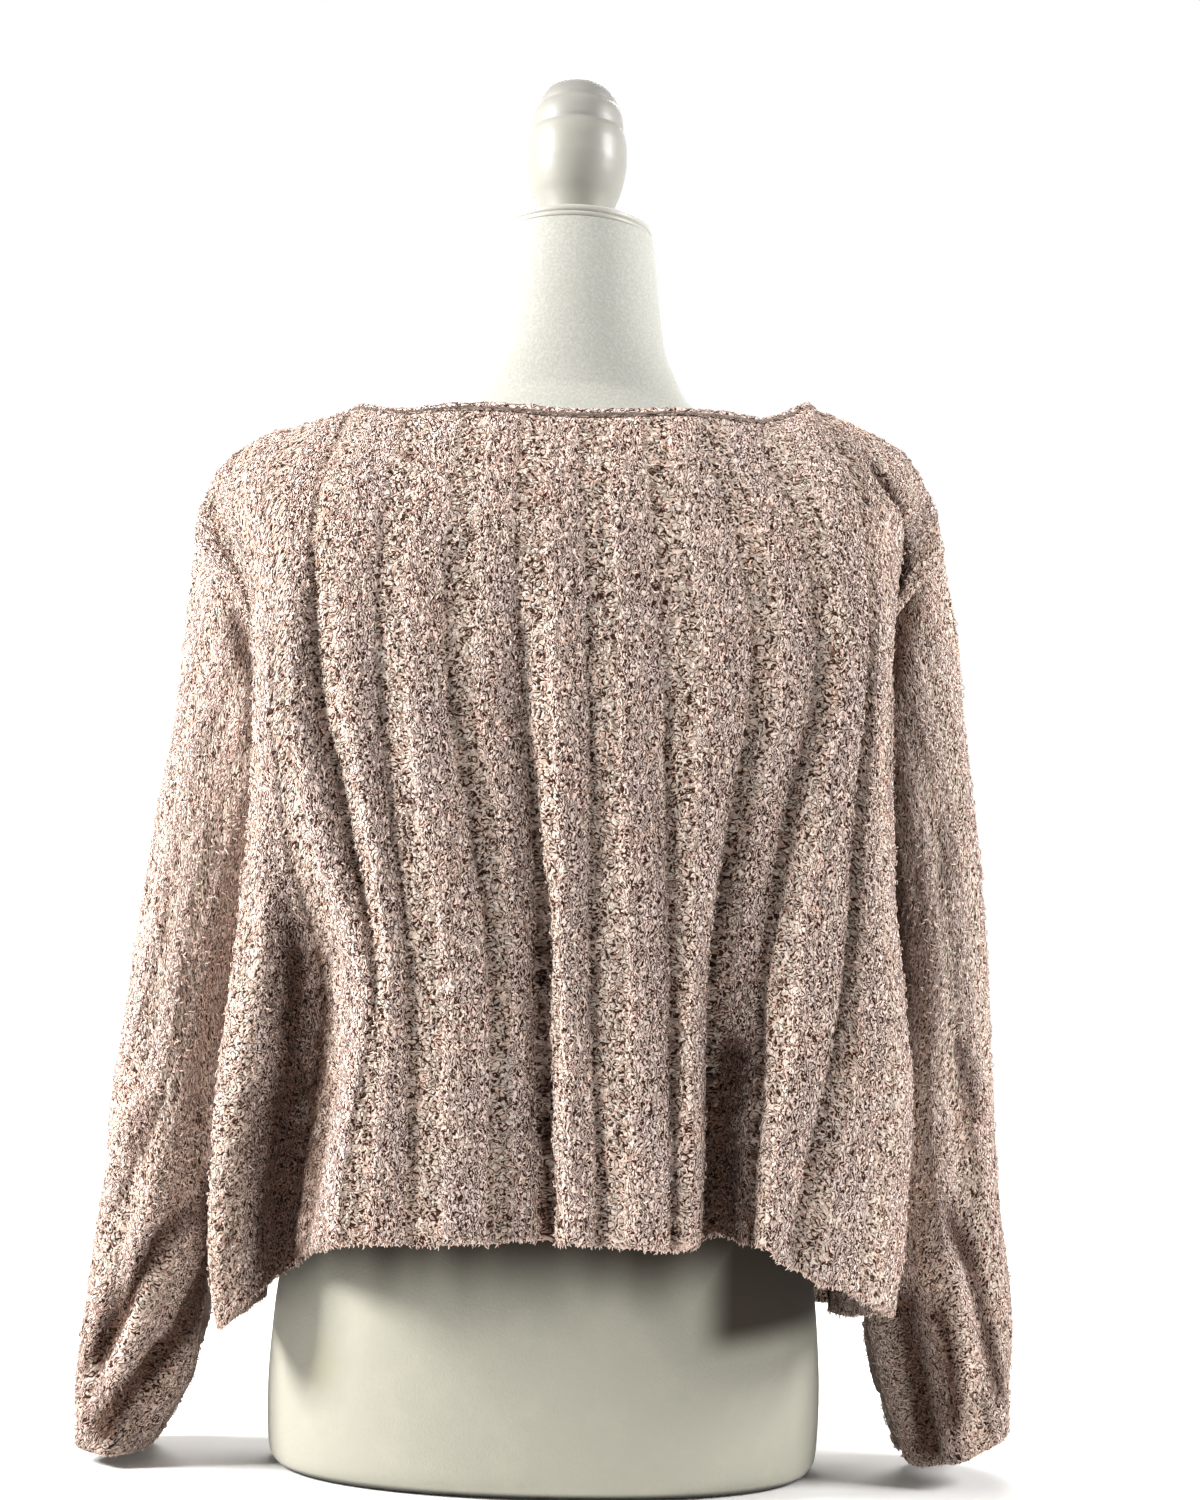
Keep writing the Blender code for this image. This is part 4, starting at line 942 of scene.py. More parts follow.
def drawn_lines(table, x, z, seed, turned=0.0):
    """Depth and painted shade (painted light under zero) of folds given as lines of points, at places
    x, z. `turned` is 1 where the cloth lies along the direction the lines are given in, so they narrow there."""
    deep, dark = np.zeros_like(x), np.zeros_like(x)
    for number, (width, depth, shade, points) in enumerate(table):
        points = np.asarray(points)
        sizes = np.linalg.norm(np.diff(points, axis=0), axis=1)
        whole = sizes.sum()
        near, along = np.full_like(x, 9.0), np.zeros_like(x)
        before = 0.0
        for p, q, size in zip(points[:-1], points[1:], sizes):
            share = np.clip(((x - p[0]) * (q[0] - p[0]) + (z - p[1]) * (q[1] - p[1])) / size**2, 0, 1)
            away = np.hypot(x - p[0] - share * (q[0] - p[0]), z - p[1] - share * (q[1] - p[1]))
            closer = away < near
            near, along = np.where(closer, away, near), np.where(closer, (before + share * size) / whole, along)
            before += size
        on = smooth(0.0, 0.22, along)
        if points[-1, 1] > 0.16:
            on = on * (1 - smooth(0.75, 1.0, along))
        uneven = 1 + 0.25 * noise2(x, z, 0.020, 0.035, seed + number)
        shape = bump(near, width * (1 - 0.75 * turned)) * on * uneven * (1 - 0.6 * turned)
        deep += depth * shape
        dark += shade * shape
    return deep, dark


def make_panel(name, front, cells_a, cells_below, cells_above, seed, finish):
    """One panel as (middle, normals, everything the wall needs)."""
    a = np.linspace(-HALF_FLAT, HALF_FLAT, cells_a + 1)
    t = np.concatenate([
        np.linspace(0, UNDERARM_T, cells_below + 1),
        np.linspace(UNDERARM_T, 1, cells_above + 1)[1:],
    ])
    middle = panel(a, t, front)
    ease = middle.copy()
    steps = np.linalg.norm(np.diff(middle, axis=0), axis=2)
    length = np.concatenate([np.zeros((1, len(a))), np.cumsum(steps, axis=0)])
    run = length[:, len(a) // 2]
    v = np.repeat(run[:, None], len(a), axis=1)
    u = np.repeat(a[None, :], len(t), axis=0)
    # the yarn keeps its size on the folds, so its coordinates are lengths on the cloth
    across = np.concatenate([np.zeros((len(t), 1)), np.cumsum(np.linalg.norm(np.diff(middle, axis=1), axis=2), axis=1)], axis=1)
    yarn_u = across - across[:, len(a) // 2][:, None]
    yarn_v = length
    normals = grid_normals(middle)
    if front:
        normals = -normals
    z = middle[..., 2]
    creases = crease_depth(FRONT_CREASES if front else BACK_CREASES, u, z, v, seed + 300)
    # nothing moves at a seam, so the pieces still meet there
    side = np.minimum(u + HALF_FLAT, HALF_FLAT - u)
    top = run[-1] - v
    at_neck = np.abs(u) < NECK_HALF
    seam_near = np.minimum(side, np.where(at_neck, 1.0, top))
    hold = smooth(0.0, 0.012, np.minimum(side, top))
    drawn = np.zeros_like(u)
    if not front:
        turned = 1 - smooth(0.12, 0.55, np.abs(normals[..., 1]))
        extra, drawn = drawn_lines(BACK_LINES, middle[..., 0], z, seed + 500, turned)
        facing = 1 - smooth(0.270, 0.290, np.abs(u))
        creases, drawn = creases + extra * facing, drawn * facing
    soft = 0.0022 * noise2(u, v, 0.060, 0.110, seed + 11) * smooth(0.0, 0.05, np.minimum(side, top))
    middle = middle - normals * (creases * hold - soft)[..., None]
    # the cut edge of the hem isn't straight
    ragged = 0.0016 * noise2(a, 0 * a, 0.013, 1.0, seed + 5) + 0.0012 * noise2(a, 0 * a, 0.0045, 1.0, seed + 6)
    pull = middle[0] - middle[4]
    pull /= np.linalg.norm(pull, axis=1)[:, None]
    for k in range(5):
        middle[k] += pull * (ragged * (1 - k / 5) * smooth(0.0, 0.01, side[0]))[:, None]
    return {
        "name": name, "front": front, "a": a, "t": t, "middle": middle, "normals": normals, "plain": ease,
        "u": u, "v": v, "side": side, "top": top, "seam_near": seam_near, "creases": creases, "drawn": drawn,
        "yarn_u": yarn_u, "yarn_v": yarn_v,
        "seed": seed, "finish": finish, "cells_below": cells_below, "run": run,
    }


def fold_shade(table, a, z):
    """Painted shade of the wide folds, 0 to 1, by how deep inside them the cloth lies."""
    deep = np.zeros_like(z)
    for place, width, *depths in table:
        deep += np.clip(curve(FOLD_Z, depths, z) - 0.006, 0, None) * bump(a - place, width * 0.90)
    return 0.95 * smooth(0.0, 0.030, deep)


def finish_panel(p):
    """Relief, rolled edges and curls of a panel, once its border normals are shared."""
    high = smooth(0.44, 0.56, p["middle"][..., 2])
    relief, raised = rib_relief(p["u"], p["v"], p["seed"], 0.70 - 0.40 * high)
    from_hem = p["v"]
    roll = 1 - smooth(0.0, RIM_ROLL, from_hem)
    seam = 1 - smooth(0.0015, 0.0065, p["seam_near"])
    neck = (1 - smooth(0.0, 0.005, p["top"])) * (np.abs(p["u"]) < NECK_HALF)
    off = CLOTH / 2 + relief * (1 - seam) * (1 - roll) * (1 - neck)
    off = off - roll**2 * CLOTH * 0.35 - seam * 0.0002 - neck * 0.0004
    puff = (1 - seam * 0.30) * (1 - neck * 0.6)
    # painted shade in the creases, on the sunk band and in the groove of each rib, in the wide folds and drawn lines,
    # and at the seams; drawn ridges under zero get painted light
    deep = np.clip(p["creases"] / 0.008, 0, 1)
    _, groove, _ = rib_band(p["u"])
    rough = noise2(p["u"], p["v"], 0.0042, 0.0050, p["seed"] + 700)
    band_shade = 0.13 * (1 - raised) * (1 + 0.6 * rough) + 0.22 * groove * (1 + 0.7 * rough)
    wide = fold_shade(FRONT_FOLDS if p["front"] else BACK_FOLDS, p["u"], p["middle"][..., 2])
    wide = np.maximum(wide, p["drawn"]) * (1 + 0.12 * rough)
    shade = np.clip(0.56 * deep * (1 + 0.4 * rough) + band_shade + 0.05 * seam + wide + np.minimum(p["drawn"], 0), 0, 1)
    fields = {"rib": raised, "puff": puff, "shade": shade}
    fabric = np.stack([p["yarn_u"], p["yarn_v"], np.full_like(p["u"], 0.37 * p["seed"])], axis=-1)
    obj, outside = cloth(p["name"], p["middle"], p["normals"], off, fields, fabric,
                         p["front"], False, p["finish"], 0.0013)
    return obj, outside, fabric, fields


def sleeve_line_depth(q_share, side_is_back, s, half_length):
    """Depth of the slanting folds of a sleeve at each point of its rings."""
    deep = np.zeros_like(q_share)
    for side, start, end, place0, place1, width, depth in SLEEVE_CREASES:
        along = (s - start) / (end - start)
        line = place0 + (place1 - place0) * np.clip(along, 0, 1)
        on = smooth(-0.05, 0.22, along) * (1 if end >= 1 else 1 - smooth(0.80, 1.05, along))
        same = side_is_back if side < 0 else ~side_is_back
        away = (q_share - line) * half_length
        deep += np.where(same, depth * on * bump(away, width), 0.0)
    return deep


def make_sleeve(name, table, end, shear, seed, finish, cells_t=72, cells_s=264):
    """A sleeve as rings from the armhole, with knit coordinates that run along the tube."""
    t = np.linspace(UNDERARM_T, 1, cells_t + 1)
    ends = np.array([-HALF_FLAT, 0.0, HALF_FLAT])
    back, front = panel(ends, t, False)[:, end], panel(ends, t, True)[:, end]
    loop = np.concatenate([back, front[1:-1][::-1]])
    s = np.linspace(0, 1, cells_s + 1)
    middle = sleeve(table, loop, s)
    count = middle.shape[1]
    half = count // 2
    normals = grid_normals(middle, wrap=True)
    flip = end != 0
    if flip:
        normals = -normals
    step = np.linalg.norm(np.roll(middle, -1, axis=1) - middle, axis=2)
    run = np.concatenate([np.zeros((len(s), 1)), np.cumsum(step, axis=1)], axis=1)
    q = run[:, half : half + 1] - run[:, :-1]
    perimeter = run[:, -1:]
    spine = np.linalg.norm(np.diff(middle.mean(axis=1), axis=0), axis=1)
    v_line = np.concatenate([[0], np.cumsum(spine)])
    v = np.repeat(v_line[:, None], count, axis=1)
    slant = np.cumsum(np.concatenate([[0], np.diff(v_line) * np.interp(s[1:], (0, 0.45, 0.65, 1), shear)]))
    u = q + slant[:, None]
    back_side = q > 0
    share = np.abs(q) / (perimeter / 2)
    s_grid = np.repeat(s[:, None], count, axis=1)
    deep = sleeve_line_depth(share, back_side, s_grid, perimeter / 2)
    extra, drawn = drawn_lines(SLEEVE_LINES[name], middle[..., 0], middle[..., 2], seed + 600)
    on_back = smooth(0.0, 0.06, share) * (1 - smooth(0.94, 1.0, share)) * back_side
    deep, drawn = deep + extra * on_back, drawn * on_back
    soft = 0.0026 * noise2(q, v, 0.050, 0.080, seed + 21) * smooth(0.0, 0.06, v)
    middle = middle - normals * (deep - soft)[..., None]
    around = np.arange(count) / count * 2 * math.pi
    # the cuff hangs rounded off at both of its corners
    corner = np.abs(2 * share[-1] - 1) ** 3
    for k in range(len(s)):
        middle[k, :, 2] += corner * 0.010 * float(smooth(0.88, 1.0, s[k]))
    ragged = 0.0005 * noise2(np.cos(around) * 0.045, np.sin(around) * 0.045, 0.009, 0.009, seed + 5)
    pull = middle[-1] - middle[-5]
    pull /= np.linalg.norm(pull, axis=1)[:, None]
    for k in range(5):
        middle[-1 - k] += pull * (ragged * (1 - k / 5))[:, None]
    return {
        "name": name, "end": end, "t": t, "middle": middle, "normals": normals, "flip": flip,
        "u": u, "v": v, "q": q, "share": share, "deep": deep, "drawn": drawn, "s": s_grid, "seed": seed, "finish": finish,
        "length": v_line[-1], "perimeter": perimeter,
    }


def finish_sleeve(p):
    relief, raised = rib_relief(p["u"], p["v"], p["seed"], 0.40 + 0.25 * smooth(0.10, 0.30, p["v"]))
    from_cuff = p["length"] - p["v"]
    roll = 1 - smooth(0.0, RIM_ROLL, from_cuff)
    seam = 1 - smooth(0.0015, 0.0065, p["v"])
    under = 1 - smooth(0.001, 0.005, (1 - p["share"]) * p["perimeter"] / 2)
    off = CLOTH / 2 + relief * (1 - seam) * (1 - roll) * (1 - under)
    off = off - roll**2 * CLOTH * 0.35 - seam * 0.0002 - under * 0.0004
    puff = (1 - seam * 0.30) * (1 - under * 0.5)
    _, groove, _ = rib_band(p["u"])
    band_shade = (0.07 * (1 - raised) + 0.14 * groove) * (0.5 + 0.5 * smooth(0.10, 0.30, p["v"]))
    # painted shade: darker down the sleeve toward the cuff and on its inner side, more at the left cuff, and at the
    # underarm and the seam, besides the creases, rib stripes and drawn lines
    low = smooth(0.55, 0.95, p["s"]) * (0.14 + 0.22 * p["share"])
    low = low + (0.15 if p["end"] == 0 else 0.0) * smooth(0.84, 1.0, p["s"])
    shade = np.clip(0.55 * p["deep"] / 0.008 + p["drawn"] + band_shade + low + 0.06 * seam + 0.2 * under, 0, 1)
    fields = {"rib": raised * 0.8, "puff": puff, "shade": shade}
    fabric = np.stack([p["u"], p["v"], np.full_like(p["u"], 0.37 * p["seed"])], axis=-1)
    obj, outside = cloth(p["name"], p["middle"], p["normals"], off, fields, fabric,
                         p["flip"], True, p["finish"], 0.0010)
    return obj, outside, fabric, fields


# ------------------------------------------------------------------ yarn loops
def tubes(name, path, radius, fabric, lift, shade, finish, up):
    """Three-sided tubes along many short paths [number, point, xyz], as one mesh."""
    number, knots = path.shape[:2]
    along = np.gradient(path, axis=1)
    along /= np.maximum(np.linalg.norm(along, axis=2), 1e-9)[..., None]
    first = np.cross(along, up[:, None, :])
    first /= np.maximum(np.linalg.norm(first, axis=2), 1e-9)[..., None]
    second = np.cross(along, first)
    rings = np.stack([
        path + radius[..., None] * (math.cos(w) * first + math.sin(w) * second)
        for w in (math.pi / 2, math.pi / 2 + 2 * math.pi / 3, math.pi / 2 + 4 * math.pi / 3)
    ], axis=2)
    one = quads(knots, 3, wrap=True)[:, ::-1]
    ends = np.array([[0, 1, 2], [3 * knots - 1, 3 * knots - 2, 3 * knots - 3]])
    offsets = (np.arange(number) * knots * 3)[:, None, None]
    four = (one[None] + offsets).reshape(-1, 4)
    three = (ends[None] + offsets).reshape(-1, 3)
    spread = np.repeat(np.repeat(fabric[:, None, :], knots, axis=1)[:, :, None, :], 3, axis=2)
    numbers = {
        "lift": np.repeat(lift[..., None], 3, axis=2),
        "shade": np.repeat(np.repeat(shade[:, None], knots, axis=1)[..., None], 3, axis=2),
    }
    return make_mesh(name, rings, four, three, numbers, {"fabric": spread}, finish)


def yarn_loops(name, outside, normals, fabric, fields, count, edge_count, edge_row, down_sign, seed, finish, wrap):
    """Loops of boucle yarn that stand off the cloth, and loose ends along its cut edge."""
    rng = np.random.default_rng(seed)
    rows, cols = outside.shape[:2]
    i = rng.integers(2, rows - 2, count)
    j = rng.integers(0 if wrap else 1, cols if wrap else cols - 1, count)
    base, up = outside[i, j], normals[i, j]
    side = outside[i, (j + 1) % cols] - base
    down = outside[i + 1, j] - base
    base = base + side * rng.uniform(-0.5, 0.5, (count, 1)) + down * rng.uniform(-0.5, 0.5, (count, 1))
    side /= np.linalg.norm(side, axis=1)[:, None]
    down = np.cross(up, side)
    turn = rng.uniform(0, 2 * math.pi, count)
    # loops lie along the wales on a raised band, any way on a sunk one
    raised = fields["rib"][i, j]
    turn = np.where(raised > 0.5, math.pi / 2 + rng.normal(0, 0.55, count), turn)
    t1 = np.cos(turn)[:, None] * side + np.sin(turn)[:, None] * down
    t2 = np.cross(up, t1)
    tilt = rng.uniform(0.5, 1.45, count) * rng.choice([-1, 1], count)
    arch = np.cos(tilt)[:, None] * up + np.sin(tilt)[:, None] * t2
    span = rng.uniform(0.0022, 0.0038, count)
    rise = rng.uniform(0.0005, 0.0012, count)
    curl = rng.uniform(-0.0012, 0.0012, count)
    path = np.stack([
        base + t1 * (span * x)[:, None] + arch * (rise * y)[:, None] + t2 * (curl * w)[:, None] + up * low
        for x, y, w, low in ((-0.42, 0.0, 0.0, -0.0006), (-0.34, 0.85, 0.8, 0.0004),
                             (0.26, 1.0, -0.6, 0.0004), (0.46, 0.10, -0.2, -0.0006))
    ], axis=1)
    radius = rng.uniform(0.00034, 0.00050, (count, 1)) * np.array([[0.8, 1.0, 1.0, 0.8]])
    lift = np.clip(np.array([[0.30, 0.72, 0.80, 0.34]]) + rng.normal(0, 0.10, (count, 1)), 0, 1)
    # each loop takes the painted shade of the cloth under it, the loose ends half of it
    shade = fields["shade"][i, j]
    # loose ends of the cut edge
    j2 = rng.integers(0, cols, edge_count)
    edge, inner = outside[edge_row, j2], outside[edge_row + (2 if edge_row == 0 else -2), j2]
    out = edge - inner
    out /= np.linalg.norm(out, axis=1)[:, None]
    up2 = normals[edge_row, j2]
    side2 = np.cross(up2, out)
    long = rng.uniform(0.0012, 0.0040, edge_count) * (0.6 if wrap else 1.0)
    swing = rng.normal(0, 0.55, edge_count)
    bend = rng.normal(0, 0.5, edge_count)
    start = edge - out * rng.uniform(0.0008, 0.0030, (edge_count, 1)) - up2 * rng.uniform(-0.0006, 0.0024, (edge_count, 1))
    way = out + side2 * swing[:, None] + up2 * rng.normal(-0.05, 0.22, edge_count)[:, None]
    way /= np.linalg.norm(way, axis=1)[:, None]
    loose = np.stack([
        start + way * (long * x)[:, None] + side2 * (long * bend * y)[:, None]
        for x, y in ((0.0, 0.0), (0.38, 0.20), (0.75, 0.10), (1.0, -0.25))
    ], axis=1)
    thin = rng.uniform(0.00026, 0.00050, (edge_count, 1)) * np.array([[1.2, 1.0, 0.8, 0.35]])
    lift2 = np.clip(np.array([[0.35, 0.55, 0.70, 0.85]]) + rng.normal(0, 0.10, (edge_count, 1)), 0, 1)
    shade2 = fields["shade"][edge_row, j2] * 0.5
    return tubes(
        name, np.concatenate([path, loose]), np.concatenate([radius, thin]),
        np.concatenate([fabric[i, j], fabric[edge_row, j2]]), np.concatenate([lift, lift2]),
        np.concatenate([shade, shade2]), finish, np.concatenate([up, up2]),
    )


# ------------------------------------------------------------------ neck edging
def make_band(finish, cells=204, around=14):
    """The turned edging of the neckline, a soft roll that follows the top of the panels."""
    a_coarse = np.linspace(-HALF_FLAT, HALF_FLAT, 31)
    t_pair = [UNDERARM_T + (1 - UNDERARM_T) * 10 / 11, 1.0]
    back, front = panel(a_coarse, t_pair, False), panel(a_coarse, t_pair, True)
    first = 7
    ahead = list(range(first, 31 - first))
    astern = ahead[-2:0:-1]
    loop = np.concatenate([back[-1, ahead], front[-1, astern]])
    lower = np.concatenate([back[0, ahead], front[0, astern]])
    rise = loop - lower
    rise /= np.linalg.norm(rise, axis=1)[:, None]
    for peak, seam in ((0, back[-1, first - 1]), (len(ahead) - 1, back[-1, 31 - first])):
        rise[peak] = (loop[peak] - seam) / np.linalg.norm(loop[peak] - seam)
    rise = rise + 0.5 * (np.roll(rise, 1, axis=0) + np.roll(rise, -1, axis=0))
    rise /= np.linalg.norm(rise, axis=1)[:, None]
    steps = np.linspace(-NECK_HALF, NECK_HALF, cells + 1)
    behind = np.stack(top_line(steps, False), axis=1)
    before = np.stack(top_line(steps, True), axis=1)[1:-1][::-1]
    line = np.concatenate([behind, before])
    back_place = (steps + NECK_HALF) / (2 * NECK_HALF) * 16
    places = np.concatenate([back_place, 16 + back_place[1:-1]])
    closed = np.concatenate([rise, rise[:1]])
    rise = resample(closed, np.arange(33), places)
    # the corners at the two peaks are rounded a little, as a sewn edge is
    for _ in range(6):
        rise = rise + 0.5 * (np.roll(rise, 1, axis=0) + np.roll(rise, -1, axis=0))
        rise /= np.linalg.norm(rise, axis=1)[:, None]
    along = np.roll(line, -1, axis=0) - np.roll(line, 1, axis=0)
    for _ in range(6):
        along = along + 0.5 * (np.roll(along, 1, axis=0) + np.roll(along, -1, axis=0))
    along /= np.linalg.norm(along, axis=1)[:, None]
    out = np.cross(along, rise)
    out /= np.linalg.norm(out, axis=1)[:, None]
    run = np.concatenate([[0], np.cumsum(np.linalg.norm(np.diff(line, axis=0), axis=1))])
    uneven = 1 + 0.10 * noise2(run, 0 * run, 0.012, 1.0, 71)
    low, tall, deep = -0.0006, BAND_RISE + 0.0008, BAND_THICK * 0.5
    section = []
    for k in range(around):
        w = 2 * math.pi * k / around
        x, y = math.cos(w), math.sin(w)
        x, y = math.copysign(abs(x) ** 0.75, x), math.copysign(abs(y) ** 0.75, y)
        section.append((deep * x, low + tall / 2 * (1 + y)))
    rings = np.stack([line + out * (x * uneven)[:, None] + rise * (y * uneven)[:, None] for x, y in section], axis=1)
    count = len(line)
    faces = []
    i, k = np.meshgrid(np.arange(count), np.arange(around), indexing="ij")
    i2, k2 = (i + 1) % count, (k + 1) % around
    faces = np.stack([i * around + k, i2 * around + k, i2 * around + k2, i * around + k2], axis=-1).reshape(-1, 4)
    v = np.arange(around) / around * 0.018
    fabric = np.stack([
        np.repeat(v[None], count, axis=0), np.repeat(run[:, None], around, axis=1), np.full((count, around), 3.3),
    ], axis=-1)
    height = np.array([y for _, y in section])
    # painted shade at the foot of the edging, where it meets the neckline, and a little all round
    seam_shade = np.clip(1 - height / 0.0022, 0, 1) * 0.7
    numbers = {"rib": np.full((count, around), 0.85), "puff": np.ones((count, around)),
               "shade": np.repeat(seam_shade[None], count, axis=0) + 0.05}
    obj = make_mesh("edging_neck", rings, faces, None, numbers, {"fabric": fabric}, finish)
    push_curls(obj, 0.0014)
    top = int(np.argmax(height))
    return obj, rings[:, top], out, rise, run, float(run[-1])


# ------------------------------------------------------------------ the dress form
def lathe(name, rings, finish, top_point=None, numbers=None):
    """A closed smooth solid through rings, with a fan at each end."""
    levels, sides = rings.shape[:2]
    bottom = rings[0].mean(axis=0)
    top = rings[-1].mean(axis=0) if top_point is None else np.asarray(top_point)
    points = np.concatenate([rings.reshape(-1, 3), [bottom, top]])
    four = quads(levels, sides, wrap=True)
    low, high, last = levels * sides, levels * sides + 1, (levels - 1) * sides
    k = np.arange(sides)
    k2 = (k + 1) % sides
    three = np.concatenate([
        np.stack([k2, k, np.full(sides, low)], axis=1),
        np.stack([last + k, last + k2, np.full(sides, high)], axis=1),
    ])
    obj = make_mesh(name, points, four, three, numbers, None, finish)
    obj.data.set_sharp_from_angle(angle=math.radians(48))
    return obj


def turned_rings(profile, base, sides=112):
    away = np.array([0.0, math.cos(NECK_LEAN), -math.sin(NECK_LEAN)])
    side = np.array([1.0, 0.0, 0.0])
    w = 2 * math.pi * np.arange(sides) / sides
    circle = np.cos(w)[:, None] * side + np.sin(w)[:, None] * away
    return np.stack([neck_axis(base + height) + radius * circle for radius, height in profile])


def dense_profile(knots, count):
    """A turned profile at more points, smooth between its knots and round its corners."""
    knots = np.asarray(knots, float)
    run = np.concatenate([[0], np.cumsum(np.linalg.norm(np.diff(knots, axis=0), axis=1))])
    at = np.linspace(0, run[-1], count)
    return np.stack([curve(run, knots[:, 0], at), curve(run, knots[:, 1], at)], axis=1)


# Finer turning of the cap and the finial: radius, height above the foot of each
CAP_TURN = (
    (0.0430, 0.0000), (0.0462, 0.0000), (0.0472, 0.0005), (0.0475, 0.0012), (0.0475, 0.0024),
    (0.0472, 0.0031), (0.0467, 0.0034), (0.0465, 0.0036), (0.0467, 0.0038), (0.0472, 0.0041),
    (0.0475, 0.0048), (0.0475, 0.0062), (0.0472, 0.0070), (0.0464, 0.0076), (0.0450, 0.0079),
    (0.0300, 0.0079),
)


def form_rings(sides=144):
    heights = np.concatenate([
        [0.0, 0.0012, 0.0028, 0.0050, 0.0080, 0.0120], np.linspace(0.017, 0.200, 44),
        np.linspace(0.215, 0.585, 26), np.linspace(0.592, 0.700, 40), np.linspace(0.705, NECK_TOP, 12),
    ])
    table = np.asarray(FORM, float)
    w = 2 * math.pi * np.arange(sides) / sides
    c, s = np.cos(w), np.sin(w)
    rings = []
    for z in heights:
        half, deep_back, deep_front = (float(np.interp(z, table[:, 0], table[:, k])) for k in (1, 2, 3))
        if z > 0.012:
            near = [float(column(FORM, k, z)) for k in (1, 2, 3)]
            half, deep_back, deep_front = near
        over = max(0.0, z - NECK_FROM)
        lean = NECK_LEAN * min(1.0, over / 0.06)
        middle_y = math.tan(NECK_LEAN) * over * min(1.0, over / 0.03)
        power = 0.90 + 0.10 * float(smooth(0.58, 0.64, z))
        x = half * np.sign(c) * np.abs(c) ** power
        y = np.where(s > 0, deep_front, deep_back) * np.sign(s) * np.abs(s) ** power
        rings.append(np.stack([x, middle_y + y * math.cos(lean), z - y * math.sin(lean)], axis=1))
    return np.stack(rings)


def jersey_material():
    """Fine off-white jersey: cooler and greener low down, whiter and speckled at the neck."""
    made, n, shader = principled("form_jersey_cloth", 0.92, sheen=0.12, sheen_roughness=0.5, specular=0.25)
    at = n.new("ShaderNodeTexCoord").outputs["Object"]
    z = n.new("ShaderNodeSeparateXYZ", {0: at}).outputs[2]
    high = n.range(z, 0.30, 0.62)
    colour = n.mix_colour(high, (0.400, 0.392, 0.330), (0.565, 0.567, 0.525))
    fine = n.noise(at, 620.0, 2.0, 0.7)
    cloud = n.noise(at, 38.0, 3.0, 0.6)
    speck = n.range(fine, 0.40, 0.64)
    colour = n.mix_colour(n.math("MULTIPLY", n.math("SUBTRACT", 1.0, speck), n.math("ADD", 0.10, n.math("MULTIPLY", high, 0.26))),
                          colour, (0.330, 0.340, 0.300))
    colour = n.mix_colour(n.range(cloud, 0.46, 0.70, 0.0, 0.16), colour, (0.520, 0.510, 0.415))
    # painted shade along the turned-under edge at the foot, and one faint old mark on the cloth
    foot = n.range(z, 0.0016, 0.0050, 1.0, 0.0)
    colour = n.mix_colour(n.math("MULTIPLY", foot, 0.85), colour, (0.045, 0.042, 0.036))
    mark = n.new("ShaderNodeVectorMath", operation="DISTANCE")
    n.put(mark.inputs[0], n.vector("MULTIPLY", at, (1.0, 1.0, 0.8)))
    mark.inputs[1].default_value = (-0.132, -0.080, 0.0565)
    colour = n.mix_colour(n.range(mark.outputs["Value"], 0.004, 0.020, 0.22, 0.0), colour, (0.400, 0.370, 0.200))
    # the jersey stays grey where the hanging cloth keeps it from the light
    x = n.new("ShaderNodeSeparateXYZ", {0: at}).outputs[0]
    wave = n.math("MULTIPLY", n.noise(n.combine(x, 0.0, 0.0), 26.0, 1.0), 0.030)
    above = n.math("ADD", z, wave)
    under = n.math("MULTIPLY", n.range(above, 0.120, 0.168), n.range(z, 0.560, 0.620, 1.0, 0.0))
    # and the more so under the raised corner of the hem
    corner = n.math("MULTIPLY", n.range(x, 0.084, 0.112), n.range(n.math("SUBTRACT", z, n.math("MULTIPLY", x, 0.10)), 0.068, 0.090))
    under = n.math("MAXIMUM", under, n.math("MULTIPLY", corner, n.range(z, 0.560, 0.620, 1.0, 0.0)))
    colour = n.mix_colour(n.math("MULTIPLY", under, 0.97), colour, (0.034, 0.024, 0.016))
    n.put(shader.inputs["Base Color"], colour)
    knit = n.noise(n.vector("MULTIPLY", at, (1.0, 1.0, 0.6)), 950.0, 2.0, 0.6)
    bump = n.new("ShaderNodeBump", {"Height": n.math("ADD", knit, n.math("MULTIPLY", fine, 0.7)),
                                    "Strength": 0.35, "Distance": 0.0006})
    n.put(shader.inputs["Normal"], bump.outputs[0])
    return made


def moulded_material(name, base, dark, roughness, coat, low, high, axis_from):
    """Moulded, lacquered cream with a slightly darker body between two heights on the axis."""
    made, n, shader = principled(name, roughness, coat=coat, coat_roughness=0.16, specular=0.4)
    at = n.new("ShaderNodeTexCoord").outputs["Object"]
    rel = n.vector("SUBTRACT", at, tuple(neck_axis(axis_from)))
    along = n.new("ShaderNodeVectorMath", operation="DOT_PRODUCT")
    n.put(along.inputs[0], rel)
    along.inputs[1].default_value = (0.0, math.sin(NECK_LEAN), math.cos(NECK_LEAN))
    height = along.outputs["Value"]
    body = n.math("MULTIPLY", n.range(height, low - 0.001, low + 0.003),
                  n.range(height, high - 0.003, high + 0.001, 1.0, 0.0))
    colour = n.mix_colour(body, base, dark)
    cloud = n.noise(at, 60.0, 2.0)
    colour = n.mix_colour(n.range(cloud, 0.4, 0.7, 0.0, 0.12), colour, tuple(0.86 * c for c in base))
    # painted shade: the finial's dome darker toward its top, for the dim overhead it reflects
    colour = n.mix_colour(n.range(height, 0.078, 0.098, 0.0, 0.45), colour, tuple(0.5 * c for c in base))
    n.put(shader.inputs["Base Color"], colour)
    n.put(shader.inputs["Roughness"], n.range(n.noise(at, 45.0, 2.0), 0.3, 0.7, roughness - 0.04, roughness + 0.07, "LINEAR"))
    bump = n.new("ShaderNodeBump", {"Height": n.noise(at, 260.0, 1.0), "Strength": 0.05, "Distance": 0.0006})
    n.put(shader.inputs["Normal"], bump.outputs[0])
    return made


